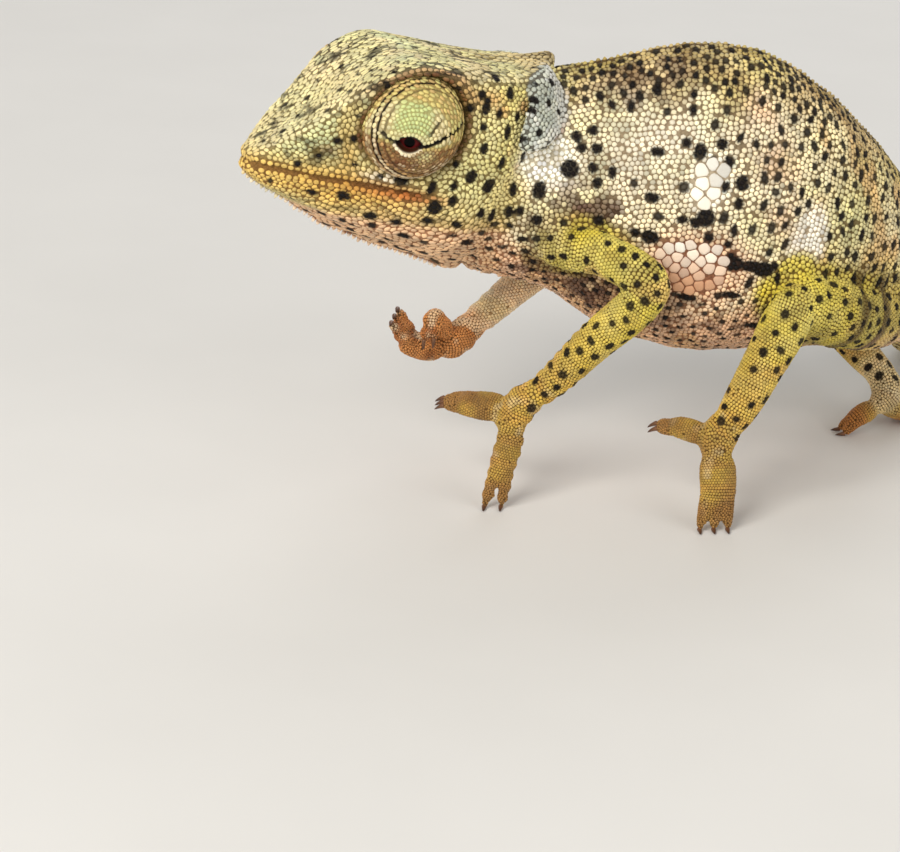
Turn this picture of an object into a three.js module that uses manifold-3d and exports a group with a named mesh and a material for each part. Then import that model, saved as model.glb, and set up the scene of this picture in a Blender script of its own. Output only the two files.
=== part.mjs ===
// A young flap-necked chameleon at life size, standing with its right forefoot raised.
// Millimetres, +Z up. It faces -X, its left side is toward -Y, and it stands on z = 0.

import * as THREE from 'three';
import { mergeVertices } from 'three/addons/utils/BufferGeometryUtils.js';
import Module from 'manifold-3d';

const wasm = await Module();
wasm.setup();

// Driving dimensions
const gap = 0.3;
const snoutTip = [-32, -15, 33.3];
const headYaw = THREE.MathUtils.degToRad(29);
const headPitch = THREE.MathUtils.degToRad(10);
const mouthHeight = 0.35;
const mouthDepth = 18;
const eyeCentre = { back: 12.7, out: 5.1, up: 6.0 };
const eyeRadius = 4.8;
const eyeBulge = 4.3;
const lobeThickness = 0.9;
const trunkSides = 18;
const limbSides = 10;
const toeRadius = 0.62;
const clawRadius = 0.3;
const clawLength = 1.5;
const wristAt = 0.9;
const elbowAt = 0.9;
const bodyCentre = new THREE.Vector3(14.2, 17.8, 0);
const onAxis = 1e-6;

const colours = {
  head: 0xb9c079,
  jaw: 0xc9a86e,
  lobe: 0xa9afa6,
  eye: 0xb4c878,
  neck: 0xbfb68c,
  trunk: 0xc0b88a,
  pelvis: 0xb3b078,
  limb: 0xb2a545,
  foot: 0x9c7a3f,
  tail: 0xa8a262,
};

// ---- solids ----

function toSolid(geometry) {
  const bare = geometry.clone();
  bare.deleteAttribute('normal');
  bare.deleteAttribute('uv');
  const merged = mergeVertices(bare, 1e-4);
  const mesh = new wasm.Mesh({
    numProp: 3,
    vertProperties: new Float32Array(merged.attributes.position.array),
    triVerts: new Uint32Array(merged.index.array),
  });
  return new wasm.Manifold(mesh);
}

function toGeometry(solid) {
  const mesh = solid.getMesh();
  const geometry = new THREE.BufferGeometry();
  geometry.setAttribute('position', new THREE.BufferAttribute(mesh.vertProperties, 3));
  geometry.setIndex(new THREE.BufferAttribute(mesh.triVerts, 1));
  geometry.computeVertexNormals();
  return geometry;
}

function joinAll(solids) {
  return solids.reduce((sum, solid) => sum.add(solid));
}

function cutAll(solid, tools) {
  return tools.reduce((rest, tool) => rest.subtract(tool), solid);
}

// Moves every vertex of a unit ball or tube. place(along, angle, reach) is given how far
// along the axis a vertex is (0 to 1), its angle from the top and its distance from the axis.
function remap(geometry, place) {
  const position = geometry.attributes.position;
  for (let i = 0; i < position.count; i += 1) {
    const x = position.getX(i);
    const z = position.getZ(i);
    const along = (1 - position.getY(i)) / 2;
    const point = place(along, Math.atan2(x, z), Math.hypot(x, z));
    position.setXYZ(i, point.x, point.y, point.z);
  }
  return geometry;
}

// ---- lofts ----

// A path through stations [x, y, z, up, down, side], the last three being half sizes.
// A station with one size is round. facing is the direction that counts as up.
function makePath(stations, facing = [0, 0, 1]) {
  const points = stations.map(([x, y, z]) => new THREE.Vector3(x, y, z));
  const sizes = stations.map(([, , , up, down, side]) => new THREE.Vector3(up, down ?? up, side ?? up));
  return {
    line: new THREE.CatmullRomCurve3(points, false, 'catmullrom', 0.5),
    size: new THREE.CatmullRomCurve3(sizes, false, 'catmullrom', 0.5),
    facing: new THREE.Vector3(...facing),
  };
}

// The point of a path's surface at t, at an angle from the top, with the section scaled by
// reach and grown by grow. narrow draws the section in above its middle and fills it out below.
function onPath(path, t, angle, reach, grow = 0, narrow = 0) {
  const point = path.line.getPoint(t);
  const tangent = path.line.getTangent(t);
  const side = path.facing.clone().cross(tangent).normalize();
  const above = tangent.clone().cross(side);
  const size = path.size.getPoint(t);
  const rise = Math.cos(angle);
  const tall = (rise > 0 ? size.x : size.y) + grow;
  const wide = (size.z + grow) * (1 - narrow * rise);
  point.addScaledVector(above, reach * rise * tall);
  point.addScaledVector(side, reach * Math.sin(angle) * wide);
  return point;
}

// Part of a path, with flat ends.
function flatEnded(path, from, to, { sides = trunkSides, rings = 8, narrow = 0, grow = 0 } = {}) {
  const tube = new THREE.CylinderGeometry(1, 1, 2, sides, rings);
  return toSolid(remap(tube, (along, angle, reach) => (
    onPath(path, from + (to - from) * along, angle, reach, grow, narrow)
  )));
}

// A whole path with rounded ends. A larger roundness gives blunter ends.
function roundEnded(path, { sides = limbSides, rings = 7, roundness = 6 } = {}) {
  const ball = new THREE.SphereGeometry(1, sides, rings);
  return toSolid(remap(ball, (along, angle, reach) => {
    const blunt = reach < onAxis ? 0 : Math.sqrt(1 - Math.abs(2 * along - 1) ** roundness);
    return onPath(path, along, angle, blunt);
  }));
}

// ---- head, in its own axes: x back from the snout tip, y to the right, z up from the mouth ----

const headFrame = new THREE.Matrix4()
  .makeRotationFromEuler(new THREE.Euler(0, headPitch, headYaw, 'ZYX'))
  .setPosition(...snoutTip);

// Half sections from front to back. Each row gives how far back it is, then the middle of the
// crown, the ridge over the eye, the cheek, the lip, the edge of the lower jaw and the middle of
// the throat. These are [out, up], or up alone on the middle line.
const headSections = [
  [0, 0.5, [0, 0.5], [0, 0.4], [0, 0.3], [0, 0.1], 0],
  [0.5, 1.7, [1.1, 1.5], [1.6, 0.9], [1.7, 0.3], [1.2, -0.7], -1.0],
  [2, 3.1, [2.6, 3.0], [2.7, 1.4], [2.6, 0.3], [1.9, -1.4], -1.9],
  [4.2, 5.0, [4.1, 5.2], [3.9, 2.2], [3.8, 0.3], [2.9, -2.0], -2.8],
  [6.6, 7.5, [5.1, 7.8], [4.8, 3.2], [4.6, 0.3], [3.7, -2.6], -3.9],
  [9, 10.0, [6.1, 10.0], [5.4, 4], [5.2, 0.3], [4.2, -3.1], -5.0],
  [12.2, 11.9, [6.7, 11.6], [6.0, 5], [5.7, 0.2], [4.7, -3.7], -5.9],
  [16, 12.3, [6.7, 11.5], [6.5, 5], [6.2, 0], [5.2, -4.3], -6.8],
  [20.3, 12.2, [6.0, 11.3], [6.9, 5], [6.6, 0], [5.4, -4.7], -7.6],
  [24.5, 12.4, [4.6, 11.5], [6.0, 6], [5.4, 2], [4.2, -3.2], -7.4],
  [27.4, 13.0, [2.3, 12.3], [3.3, 9.5], [2.8, 8], [2, 7], 6.5],
  [29, 13.3, [0.3, 13], [0.5, 12.4], [0.4, 12], [0.3, 11.7], 11.5],
  [29.3, 12.8, [0, 12.7], [0, 12.6], [0, 12.5], [0, 12.4], 12.3],
];

// One curve from snout to casque for each column of the table.
const featureLines = headSections[0].slice(1).map((_, column) => {
  const points = headSections.map(([back, ...row]) => {
    const [out, up] = Array.isArray(row[column]) ? row[column] : [0, row[column]];
    return new THREE.Vector3(back, out, up);
  });
  return new THREE.CatmullRomCurve3(points, false, 'catmullrom', 0.5);
});

function makeHead(grow = 0) {
  const ball = new THREE.SphereGeometry(1, 20, 18);
  return toSolid(remap(ball, (along, angle, reach) => {
    const t = Math.acos(1 - 2 * along) / Math.PI;
    const corners = featureLines.map((line) => line.getPoint(t));
    const half = new THREE.CatmullRomCurve3(corners, false, 'catmullrom', 0.5);
    const middle = (corners[0].z + corners.at(-1).z) / 2;
    if (reach < onAxis) return new THREE.Vector3(corners[0].x, 0, middle).applyMatrix4(headFrame);
    const point = half.getPoint(Math.abs(angle) / Math.PI);
    point.y = (point.y + grow * Math.abs(Math.sin(angle))) * Math.sign(angle);
    point.z += grow * Math.sign(point.z - middle) * Math.abs(Math.cos(angle));
    return point.applyMatrix4(headFrame);
  }));
}

// The eye and its fused lids: a low dome that looks out and a little forward.
function makeEye(side, grow = 0) {
  const ball = new THREE.SphereGeometry(1, 16, 9);
  ball.scale(eyeRadius + grow, eyeBulge + grow, eyeRadius + grow);
  ball.translate(eyeCentre.back, side * eyeCentre.out, eyeCentre.up);
  ball.applyMatrix4(headFrame);
  return toSolid(ball);
}

// The mouth is cut along a plane, from the snout back to the corner.
function mouthBlock(top) {
  const box = new THREE.BoxGeometry(mouthDepth + 2, 20, 12);
  box.translate(mouthDepth / 2 - 1, 0, top - 6);
  box.applyMatrix4(headFrame);
  return toSolid(box);
}

// The skin flap at the back of the casque, in the head's axes.
const lobeStations = [
  [27.9, 2.2, 12.3, 0.9],
  [27.2, 3.8, 11.0, 2.2],
  [26.3, 5.5, 9.4, 3.0],
  [25.0, 6.8, 7.5, 2.6],
  [23.2, 7.3, 5.6, 1.4],
];

function makeLobe(side) {
  const stations = lobeStations.map(([x, y, z, half]) => {
    const at = new THREE.Vector3(x, side * y, z).applyMatrix4(headFrame);
    return [...at.toArray(), lobeThickness / 2, lobeThickness / 2, half];
  });
  const facing = new THREE.Vector3(0.15, side, 0).transformDirection(headFrame);
  return roundEnded(makePath(stations, facing.toArray()), { sides: 10, rings: 8, roundness: 4 });
}

// ---- neck, trunk and tail ----

const spineStations = [
  [-14, -4.6, 30.5, 6, 9.2, 5],
  [-8, -2, 30.2, 9.0, 10.0, 6.2],
  [-2.5, -0.4, 29.6, 11.2, 11.0, 7.2],
  [4, 0, 28.6, 14.2, 13.5, 8.4],
  [11, 0.6, 27.6, 15.2, 14.3, 8.8],
  [17.5, 2.6, 26, 12.9, 13.0, 8.5],
  [23.2, 6, 23.6, 10.0, 11.4, 7.6],
  [28.2, 10.6, 19.8, 7.6, 9.0, 6.2],
  [31.6, 15.6, 15.6, 5.2, 5.9, 4.6],
  [34, 21, 11.6, 3.7, 3.8, 3.4],
  [35.8, 27.6, 7.6, 2.9],
  [37, 34.2, 4.3, 2.4],
  [38.8, 41, 2.0, 2.0],
  [42.6, 47.2, 1.6, 1.7],
  [48.4, 51, 1.4, 1.5],
  [54.6, 50.8, 1.2, 1.3],
  [59, 47, 1.0, 1.1],
  [59.4, 41.8, 0.85, 0.95],
  [56.2, 38.6, 0.7, 0.8],
  [52.6, 39.4, 0.6, 0.68],
  [51.8, 42.4, 0.5, 0.58],
];
const spine = makePath(spineStations);
const bellyFullness = 0.16;

// Spine stations between which each node runs, with the rings of its mesh.
const spineNodes = [
  { name: 'neck', from: 0, to: 2.1, rings: 6, colour: 'neck' },
  { name: 'trunk_front', from: 2.1, to: 4.2, rings: 8, colour: 'trunk' },
  { name: 'trunk_rear', from: 4.2, to: 6.4, rings: 8, colour: 'trunk' },
  { name: 'pelvis', from: 6.4, to: 8.8, rings: 9, colour: 'pelvis' },
  { name: 'tail_1', from: 8.8, to: 11, rings: 7, sides: 12, colour: 'tail' },
  { name: 'tail_2', from: 11, to: 13, rings: 7, sides: 10, colour: 'tail' },
  { name: 'tail_3', from: 13, to: 15, rings: 7, sides: 10, colour: 'tail' },
  { name: 'tail_4', from: 15, to: 17, rings: 8, sides: 8, colour: 'tail' },
  { name: 'tail_5', from: 17, to: 20, rings: 10, sides: 8, colour: 'tail' },
];

// Half the gap between two lengths, as a share of the spine's run at a station.
function halfCut(station) {
  const last = spineStations.length - 1;
  if (station === 0 || station === last) return 0;
  const step = 0.01 / last;
  const here = spine.line.getPoint(station / last);
  const next = spine.line.getPoint(station / last + step);
  return (gap / 2) * (step / here.distanceTo(next));
}

function makeSpineLength({ from, to, sides, rings }, grow = 0) {
  const last = spineStations.length - 1;
  const start = from / last + halfCut(from);
  const end = to / last - halfCut(to);
  return flatEnded(spine, start, end, { sides, rings, narrow: bellyFullness, grow });
}

// ---- limbs ----

function halfSpace(point, normal) {
  const reach = 200;
  const box = new THREE.BoxGeometry(reach, reach, reach);
  box.translate(0, 0, reach / 2);
  box.applyQuaternion(new THREE.Quaternion().setFromUnitVectors(new THREE.Vector3(0, 0, 1), normal));
  box.translate(point.x, point.y, point.z);
  return toSolid(box);
}

const belowFloor = halfSpace(new THREE.Vector3(0, 0, 0), new THREE.Vector3(0, 0, -1));

// Parts two overlapping solids at a joint, by a mitre cut one gap wide.
function mitre(before, after, joint, normal) {
  const back = joint.clone().addScaledVector(normal, -gap / 2);
  const front = joint.clone().addScaledVector(normal, gap / 2);
  return [
    before.subtract(halfSpace(back, normal)),
    after.subtract(halfSpace(front, normal.clone().negate())),
  ];
}

// A bundle of fused toes with claws. route runs from the palm to the tips, spread is the step
// from one toe to the next, gather the share of it left at the tips, and claw the way the claws
// point.
function makeBundle({ route, toes, spread, claw, gather = 1 }) {
  const across = new THREE.Vector3(...spread);
  const width = across.length() * (toes - 1) / 2 + toeRadius;
  const [root, middle, tip] = route.map((point) => new THREE.Vector3(...point));
  const knuckle = middle.clone().lerp(tip, 0.45);
  const narrow = (1 + gather) / 2;
  const fused = makePath([
    [...root, width * 1.1, width * 1.1, toeRadius * 1.9],
    [...middle, width, width, toeRadius * 1.6],
    [...knuckle, width * 0.95 * narrow, width * 0.95 * narrow, toeRadius * 1.25 * narrow],
  ], spread);
  const solids = [roundEnded(fused, { sides: 8, rings: 5, roundness: 4 })];
  for (let i = 0; i < toes; i += 1) {
    const shift = across.clone().multiplyScalar(i - (toes - 1) / 2);
    const start = middle.clone().addScaledVector(shift, 0.9);
    const bend = knuckle.clone().addScaledVector(shift, narrow);
    const end = tip.clone().addScaledVector(shift, 1.15 * gather);
    const toe = makePath([[...start, toeRadius], [...bend, toeRadius], [...end, toeRadius * 0.8]], spread);
    solids.push(roundEnded(toe, { sides: 5, rings: 4, roundness: 5 }));
    const point = new THREE.ConeGeometry(clawRadius, clawLength, 4);
    const way = new THREE.Vector3(...claw).normalize();
    point.applyQuaternion(new THREE.Quaternion().setFromUnitVectors(new THREE.Vector3(0, 1, 0), way));
    end.addScaledVector(way, clawLength * 0.4);
    point.translate(end.x, end.y, end.z);
    solids.push(toSolid(point));
  }
  return joinAll(solids);
}

function makePalm({ palm }) {
  return roundEnded(makePath(palm), { sides: 8, rings: 6, roundness: 3 });
}

// Each limb: the upper and lower length as paths, facing out from the body, then the foot.
const limbs = {
  fore_left: {
    facing: [0, -1, 0],
    names: ['upper_arm_left', 'forearm_left', 'forefoot_left'],
    upper: [[-6, -4, 26, 2.4], [-3, -6.8, 25.2, 2.4], [0.8, -9.4, 25.2, 2.1], [4.2, -11.6, 24.3, 2.1],
      [6.4, -12.2, 22.8, 2.0]],
    lower: [[6.4, -12.2, 24.6, 2.0], [4.0, -12, 21.2, 2.1], [0.6, -11.2, 17.3, 1.95],
      [-2.4, -10.2, 13.3, 1.7], [-5.2, -9.6, 10.2, 1.5]],
    palm: [[-3.6, -9.8, 12.2, 1.6], [-5.9, -9.7, 9.6, 1.8], [-6.7, -10.1, 6.6, 1.4]],
    bundles: [
      { route: [[-5.9, -10, 8.4], [-6.8, -10.8, 4.6], [-7.5, -11.1, 0.2]], toes: 2, spread: [1.35, 0.2, 0],
        claw: [-0.1, -1, -0.1] },
      { route: [[-6.6, -9.2, 9.4], [-10.2, -8, 9.2], [-12.8, -7, 8.8]], toes: 3, spread: [0, 1.0, 0.3],
        claw: [-1, 0.2, -0.3], gather: 0.5 },
    ],
  },
  hind_left: {
    facing: [0, -1, 0],
    names: ['thigh_left', 'shank_left', 'hindfoot_left'],
    upper: [[30.6, 8, 15.2, 3.4], [27, 3, 17, 3.7], [23.2, -2, 18.9, 3.6], [20, -5.8, 20.6, 3.0],
      [17.8, -8.4, 21.6, 2.2]],
    lower: [[19.6, -7, 22.8, 2.3], [18.2, -8.4, 19.4, 2.4], [16.4, -9.4, 15.4, 2.15],
      [14.8, -10, 11.8, 1.95], [13.2, -10.2, 8.6, 1.7]],
    palm: [[14.4, -10.1, 11, 1.7], [13, -10.2, 8.4, 1.9], [13, -11, 6, 1.5]],
    bundles: [
      { route: [[12.9, -10.6, 7.4], [13.3, -12.2, 4], [13.2, -12.8, 0.2]], toes: 3, spread: [1.15, 0.25, 0],
        claw: [0.1, -1, -0.1] },
      { route: [[12.4, -9.8, 8.2], [9.6, -8.6, 8.5], [7.3, -7.6, 8.1]], toes: 2, spread: [0, 1.1, 0.3],
        claw: [-1, 0.2, -0.35], gather: 0.6 },
    ],
  },
  fore_right: {
    facing: [0, 1, 0],
    names: ['upper_arm_right', 'forearm_right', 'forefoot_right'],
    upper: [[-6.4, 3, 25, 2.4], [-5.2, 6, 23.6, 2.4], [-3.2, 8.4, 21.6, 2.1], [-1.4, 9.6, 19.6, 2.0],
      [-0.4, 9.8, 18.2, 1.9]],
    lower: [[0.2, 9.8, 20, 1.9], [-2.8, 8.6, 18.6, 2.0], [-6, 6.8, 16.4, 1.85], [-9, 4.8, 14, 1.65],
      [-12, 2.8, 11.8, 1.5]],
    palm: [[-9.6, 4.3, 13.5, 1.5], [-12.2, 2.4, 11.6, 1.8], [-14.2, 1.4, 11.2, 1.4]],
    bundles: [
      { route: [[-13.4, 1.4, 10.8], [-16.2, 0, 11.8], [-18, -1.4, 15]], toes: 3, spread: [0.2, 0.9, 0.3],
        claw: [-0.1, -1, 0.2] },
      { route: [[-12.8, 1.4, 12.4], [-14.2, -0.2, 14.6], [-14.6, -2, 13]], toes: 2, spread: [0.8, 0.2, 0.1],
        claw: [0, -0.3, -1] },
    ],
  },
  hind_right: {
    facing: [0, 1, 0],
    names: ['thigh_right', 'shank_right', 'hindfoot_right'],
    upper: [[27.4, 13.4, 15.4, 3.2], [25, 18, 15.8, 3.4], [22.6, 22, 15.6, 3.0], [20.4, 25, 14.6, 2.6],
      [19.2, 26.6, 13.4, 2.0]],
    lower: [[18.8, 25.8, 15.6, 2.0], [22.8, 23.8, 12.8, 2.2], [26.8, 21.2, 9.4, 2.0],
      [30.2, 18.9, 6.6, 1.8], [33.2, 17, 4.4, 1.6]],
    palm: [[30.6, 18.7, 6.4, 1.6], [32.4, 16.8, 4, 1.75], [30.8, 15.4, 2.2, 1.3]],
    bundles: [
      { route: [[31.2, 15.4, 2.8], [29.4, 14.6, 1.8], [27.8, 14.2, 0.25]], toes: 2, spread: [0.3, -1.1, 0],
        claw: [-1, -0.3, -0.1] },
      { route: [[32, 16.2, 2.8], [33.8, 17.8, 1.6], [35.4, 19.2, 0.25]], toes: 3, spread: [0.8, -0.8, 0],
        claw: [0.7, 0.7, -0.1] },
    ],
  },
};

function makeLimb(limb, body) {
  const upperPath = makePath(limb.upper, limb.facing);
  const lowerPath = makePath(limb.lower, limb.facing);
  const joint = upperPath.line.getPoint(elbowAt).lerp(lowerPath.line.getPoint(1 - elbowAt), 0.5);
  const before = upperPath.line.getTangent(elbowAt);
  const after = lowerPath.line.getTangent(1 - elbowAt);
  const bisector = before.add(after).normalize();
  const [upper, lower] = mitre(roundEnded(upperPath), roundEnded(lowerPath, { rings: 10 }), joint, bisector);
  const foot = joinAll([makePalm(limb), ...limb.bundles.map(makeBundle)]).subtract(belowFloor);
  const wrist = lowerPath.line.getPoint(wristAt);
  const [lowerCut, footCut] = mitre(lower, foot, wrist, lowerPath.line.getTangent(wristAt));
  return [cutAll(upper, body), lowerCut, footCut];
}

// ---- the whole animal ----

const chameleon = new THREE.Group();
chameleon.position.copy(bodyCentre).negate();

function addNode(name, solid, colour, roughness = 0.75) {
  const material = new THREE.MeshStandardMaterial({ color: colours[colour], roughness, metalness: 0 });
  const mesh = new THREE.Mesh(toGeometry(solid), material);
  mesh.name = name;
  chameleon.add(mesh);
}

const eyeHoles = [-1, 1].map((side) => makeEye(side, gap));
const wholeHead = cutAll(makeHead(), eyeHoles);
const headGrown = makeHead(gap);

addNode('head', wholeHead.subtract(mouthBlock(mouthHeight + gap / 2)), 'head');
addNode('lower_jaw', wholeHead.intersect(mouthBlock(mouthHeight - gap / 2)), 'jaw');
addNode('eye_left', makeEye(-1), 'eye', 0.35);
addNode('eye_right', makeEye(1), 'eye', 0.35);

const grownSpine = spineNodes.slice(0, 4).map((node) => makeSpineLength(node, gap));
for (const [name, side] of [['occipital_lobe_left', -1], ['occipital_lobe_right', 1]]) {
  addNode(name, cutAll(makeLobe(side), [headGrown, grownSpine[0]]), 'lobe');
}

for (const node of spineNodes) {
  const cuts = node.name === 'neck' ? [headGrown] : [];
  addNode(node.name, cutAll(makeSpineLength(node), [...cuts, belowFloor]), node.colour);
}

for (const limb of Object.values(limbs)) {
  const solids = makeLimb(limb, grownSpine);
  addNode(limb.names[0], solids[0], 'limb');
  addNode(limb.names[1], solids[1], 'limb');
  addNode(limb.names[2], solids[2], 'foot');
}

export default chameleon;
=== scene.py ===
import itertools
import math

import bmesh
import bpy
import numpy as np
from mathutils import Matrix, Vector


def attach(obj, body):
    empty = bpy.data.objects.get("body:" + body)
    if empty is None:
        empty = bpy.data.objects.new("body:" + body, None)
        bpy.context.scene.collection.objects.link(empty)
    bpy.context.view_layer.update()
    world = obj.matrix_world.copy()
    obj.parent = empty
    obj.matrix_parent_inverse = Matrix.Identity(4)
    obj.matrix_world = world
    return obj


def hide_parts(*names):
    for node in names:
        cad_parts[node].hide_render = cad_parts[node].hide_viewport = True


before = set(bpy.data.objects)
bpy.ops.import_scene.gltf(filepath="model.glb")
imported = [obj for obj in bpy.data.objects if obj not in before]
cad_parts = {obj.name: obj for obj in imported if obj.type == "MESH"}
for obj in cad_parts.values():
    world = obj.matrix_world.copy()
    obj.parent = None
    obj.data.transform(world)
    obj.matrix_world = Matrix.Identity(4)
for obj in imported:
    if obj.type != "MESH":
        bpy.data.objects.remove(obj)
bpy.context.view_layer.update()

scene = bpy.context.scene
rng = np.random.default_rng(11)

# Shapes are drawn in millimetres, with the animal facing -X and its left side toward -Y.
# rowOrigin is where the frame's origin lies in them.
rowOrigin = np.array([14.2, 17.8, 0.0])
coatDepth = 0.2  # how far the skin lies inside the tips of the scales
up = np.array([0.0, 0.0, 1.0])
nudge = 1e-3  # step along a curve that its direction is measured over
batch = 12000  # how many points are compared with others at a time


def toFrame(points):
    return (np.asarray(points) - rowOrigin) / 1000


def toMillimetres(points):
    return np.asarray(points) * 1000 + rowOrigin


def unit(vectors):
    return vectors / np.maximum(np.linalg.norm(vectors, axis=-1, keepdims=True), 1e-12)


def step(low, high, value):
    # smooth rise from 0 at low to 1 at high, or a fall where high is the smaller
    share = np.clip((value - low) / (high - low), 0, 1)
    return share * share * (3 - 2 * share)


def bell(value, middle, width):
    return np.exp(-(((value - middle) / width) ** 2))


# curves and lofts

def catmullRom(p0, p1, p2, p3, w):
    # the place a share w of the way from p1 to p2
    return p1 + w / 2 * (p2 - p0 + w * (2 * p0 - 5 * p1 + 4 * p2 - p3 + w * (3 * (p1 - p2) + p3 - p0)))


def padEnds(rows, axis=0):
    # one more row at each end, mirrored over the end
    first, second, last, beforeLast = (np.take(rows, [place], axis) for place in (0, 1, -1, -2))
    return np.concatenate([2 * first - second, rows, 2 * last - beforeLast], axis)


def spline(rows, along):
    # a curve through the rows, evenly timed
    rows = np.asarray(rows, float)
    padded = padEnds(rows)
    place = np.clip(along, 0, 1) * (len(rows) - 1)
    index = np.minimum(place.astype(int), len(rows) - 2)
    w = (place - index).reshape(place.shape + (1,) * (rows.ndim - 1))
    return catmullRom(*(padded[index + k] for k in range(4)), w)


def makePath(stations, facing=(0, 0, 1), narrow=0.0, roundness=6.0):
    # stations are x, y, z and the half sizes up, down and sideways. One size alone makes it round.
    rows = [list(row) + [row[3]] * (6 - len(row)) for row in stations]
    return {"rows": np.array(rows, float), "facing": np.array(facing, float), "narrow": narrow,
            "roundness": roundness}


def pathFrame(path, along):
    row = spline(path["rows"], along)
    ahead = spline(path["rows"], np.minimum(along + nudge, 1))[..., :3]
    behind = spline(path["rows"], np.maximum(along - nudge, 0))[..., :3]
    tangent = unit(ahead - behind)
    side = unit(np.cross(path["facing"], tangent))
    return row[..., :3], tangent, side, np.cross(tangent, side), row[..., 3:]


def onPath(path, along, angle, reach=1.0, grow=0.0):
    # centre + above * reach * cos(angle) * height + side * reach * sin(angle) * width, where height is
    # the upper or the lower half size and width is drawn in above the middle
    centre, _, side, above, size = pathFrame(path, along)
    rise = np.cos(angle)
    tall = np.where(rise > 0, size[..., 0], size[..., 1]) + grow
    wide = (size[..., 2] + grow) * (1 - path["narrow"] * rise)
    out = reach * np.sin(angle) * wide
    return centre + above * (reach * rise * tall)[..., None] + side * out[..., None]


def roundLoft(path, grow=0.0):
    # The closed surface of a path as a function of two numbers: turn runs from 0 to 1 from end to end
    # with along = (1 - cos(pi turn)) / 2, and the section shrinks to nothing at both ends.
    def surface(turn, angle):
        turn, angle = np.broadcast_arrays(turn, angle)
        along = (1 - np.cos(math.pi * turn)) / 2
        reach = np.sqrt(np.maximum(1 - np.abs(2 * along - 1) ** path["roundness"], 0))
        return onPath(path, along, angle, reach, grow)
    return surface


def closedGrid(grid, ends):
    # the points and faces of a grid of rings, closed by one more point at each end
    rings, sides = grid.shape[:2]
    index = np.arange(rings * sides).reshape(rings, sides)
    right = np.roll(index, -1, axis=1)
    quads = np.stack([index[:-1], index[1:], right[1:], right[:-1]], -1).reshape(-1, 4)
    first = np.stack([np.full(sides, index.size), index[0], right[0]], -1)
    last = np.stack([np.full(sides, index.size + 1), right[-1], index[-1]], -1)
    return np.concatenate([grid.reshape(-1, 3), ends]), [quads, np.concatenate([first, last])]


def ballMesh(surface, rings, sides):
    # surface(turn, angle) as rings of sides, closed at its poles
    turn = np.linspace(0, 1, rings + 1)
    angle = np.linspace(-math.pi, math.pi, sides, endpoint=False)
    return closedGrid(surface(turn[1:-1, None], angle[None, :]), surface(np.array([0.0, 1.0]), np.zeros(2)))


# meshes

def makeMesh(name, points, faceSets):
    mesh = bpy.data.meshes.new(name)
    faceSets = [np.asarray(faces, np.int32) for faces in faceSets if len(faces)]
    corners = np.concatenate([faces.ravel() for faces in faceSets])
    totals = np.concatenate([np.full(len(faces), faces.shape[1]) for faces in faceSets])
    mesh.vertices.add(len(points))
    mesh.vertices.foreach_set("co", np.asarray(points, np.float32).ravel())
    mesh.loops.add(len(corners))
    mesh.loops.foreach_set("vertex_index", corners)
    mesh.polygons.add(len(totals))
    mesh.polygons.foreach_set("loop_start", np.concatenate([[0], np.cumsum(totals)[:-1]]).astype(np.int32))
    mesh.polygons.foreach_set("loop_total", totals.astype(np.int32))
    mesh.update(calc_edges=True)
    mesh.polygons.foreach_set("use_smooth", np.ones(len(totals), bool))
    return mesh


def addObject(name, mesh):
    piece = bpy.data.objects.new(name, mesh)
    scene.collection.objects.link(piece)
    return piece


def addPiece(name, mesh, material, slot, replaced=()):
    piece = addObject(name, mesh)
    mesh.materials.append(material)
    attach(piece, "root")
    if replaced:
        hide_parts(*replaced)
    # a face of n corners is n - 2 triangles
    print("made", name, "with", len(mesh.loops) - 2 * len(mesh.polygons), "triangles", flush=True)
    return piece


def setColours(mesh, name, values):
    layer = mesh.attributes.new(name, "FLOAT_COLOR", "POINT")
    full = np.concatenate([values, np.ones((len(values), 1))], axis=1)
    layer.data.foreach_set("color", full.astype(np.float32).ravel())


def setNumbers(mesh, name, values):
    layer = mesh.attributes.new(name, "FLOAT", "POINT")
    layer.data.foreach_set("value", np.asarray(values, np.float32))


def setLooks(mesh, tint, gap, dark):
    setColours(mesh, "tint", tint)
    setColours(mesh, "gapTint", gap)
    setNumbers(mesh, "dark", dark)


def getPoints(mesh):
    flat = np.empty(len(mesh.vertices) * 3, np.float32)
    mesh.vertices.foreach_get("co", flat)
    return flat.reshape(-1, 3).astype(float)


def evaluated(piece):
    bpy.context.view_layer.update()
    view = bpy.context.evaluated_depsgraph_get()
    return bpy.data.meshes.new_from_object(piece.evaluated_get(view), depsgraph=view)


# the body's own shape

snoutTip = np.array([-32, -15, 33.3])
headYaw = math.radians(29)
headPitch = math.radians(10)
headBack = np.array([math.cos(headYaw) * math.cos(headPitch), math.sin(headYaw) * math.cos(headPitch),
                     -math.sin(headPitch)])
headRight = np.array([-math.sin(headYaw), math.cos(headYaw), 0])
headUp = np.cross(headBack, headRight)
headAxes = np.stack([headBack, headRight, headUp])


def fromHead(places):
    # head places are millimetres back from the snout tip, out to the right, and up from the mouth
    return snoutTip + np.asarray(places, float) @ headAxes


def toHead(points):
    return (points - snoutTip) @ headAxes.T


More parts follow.
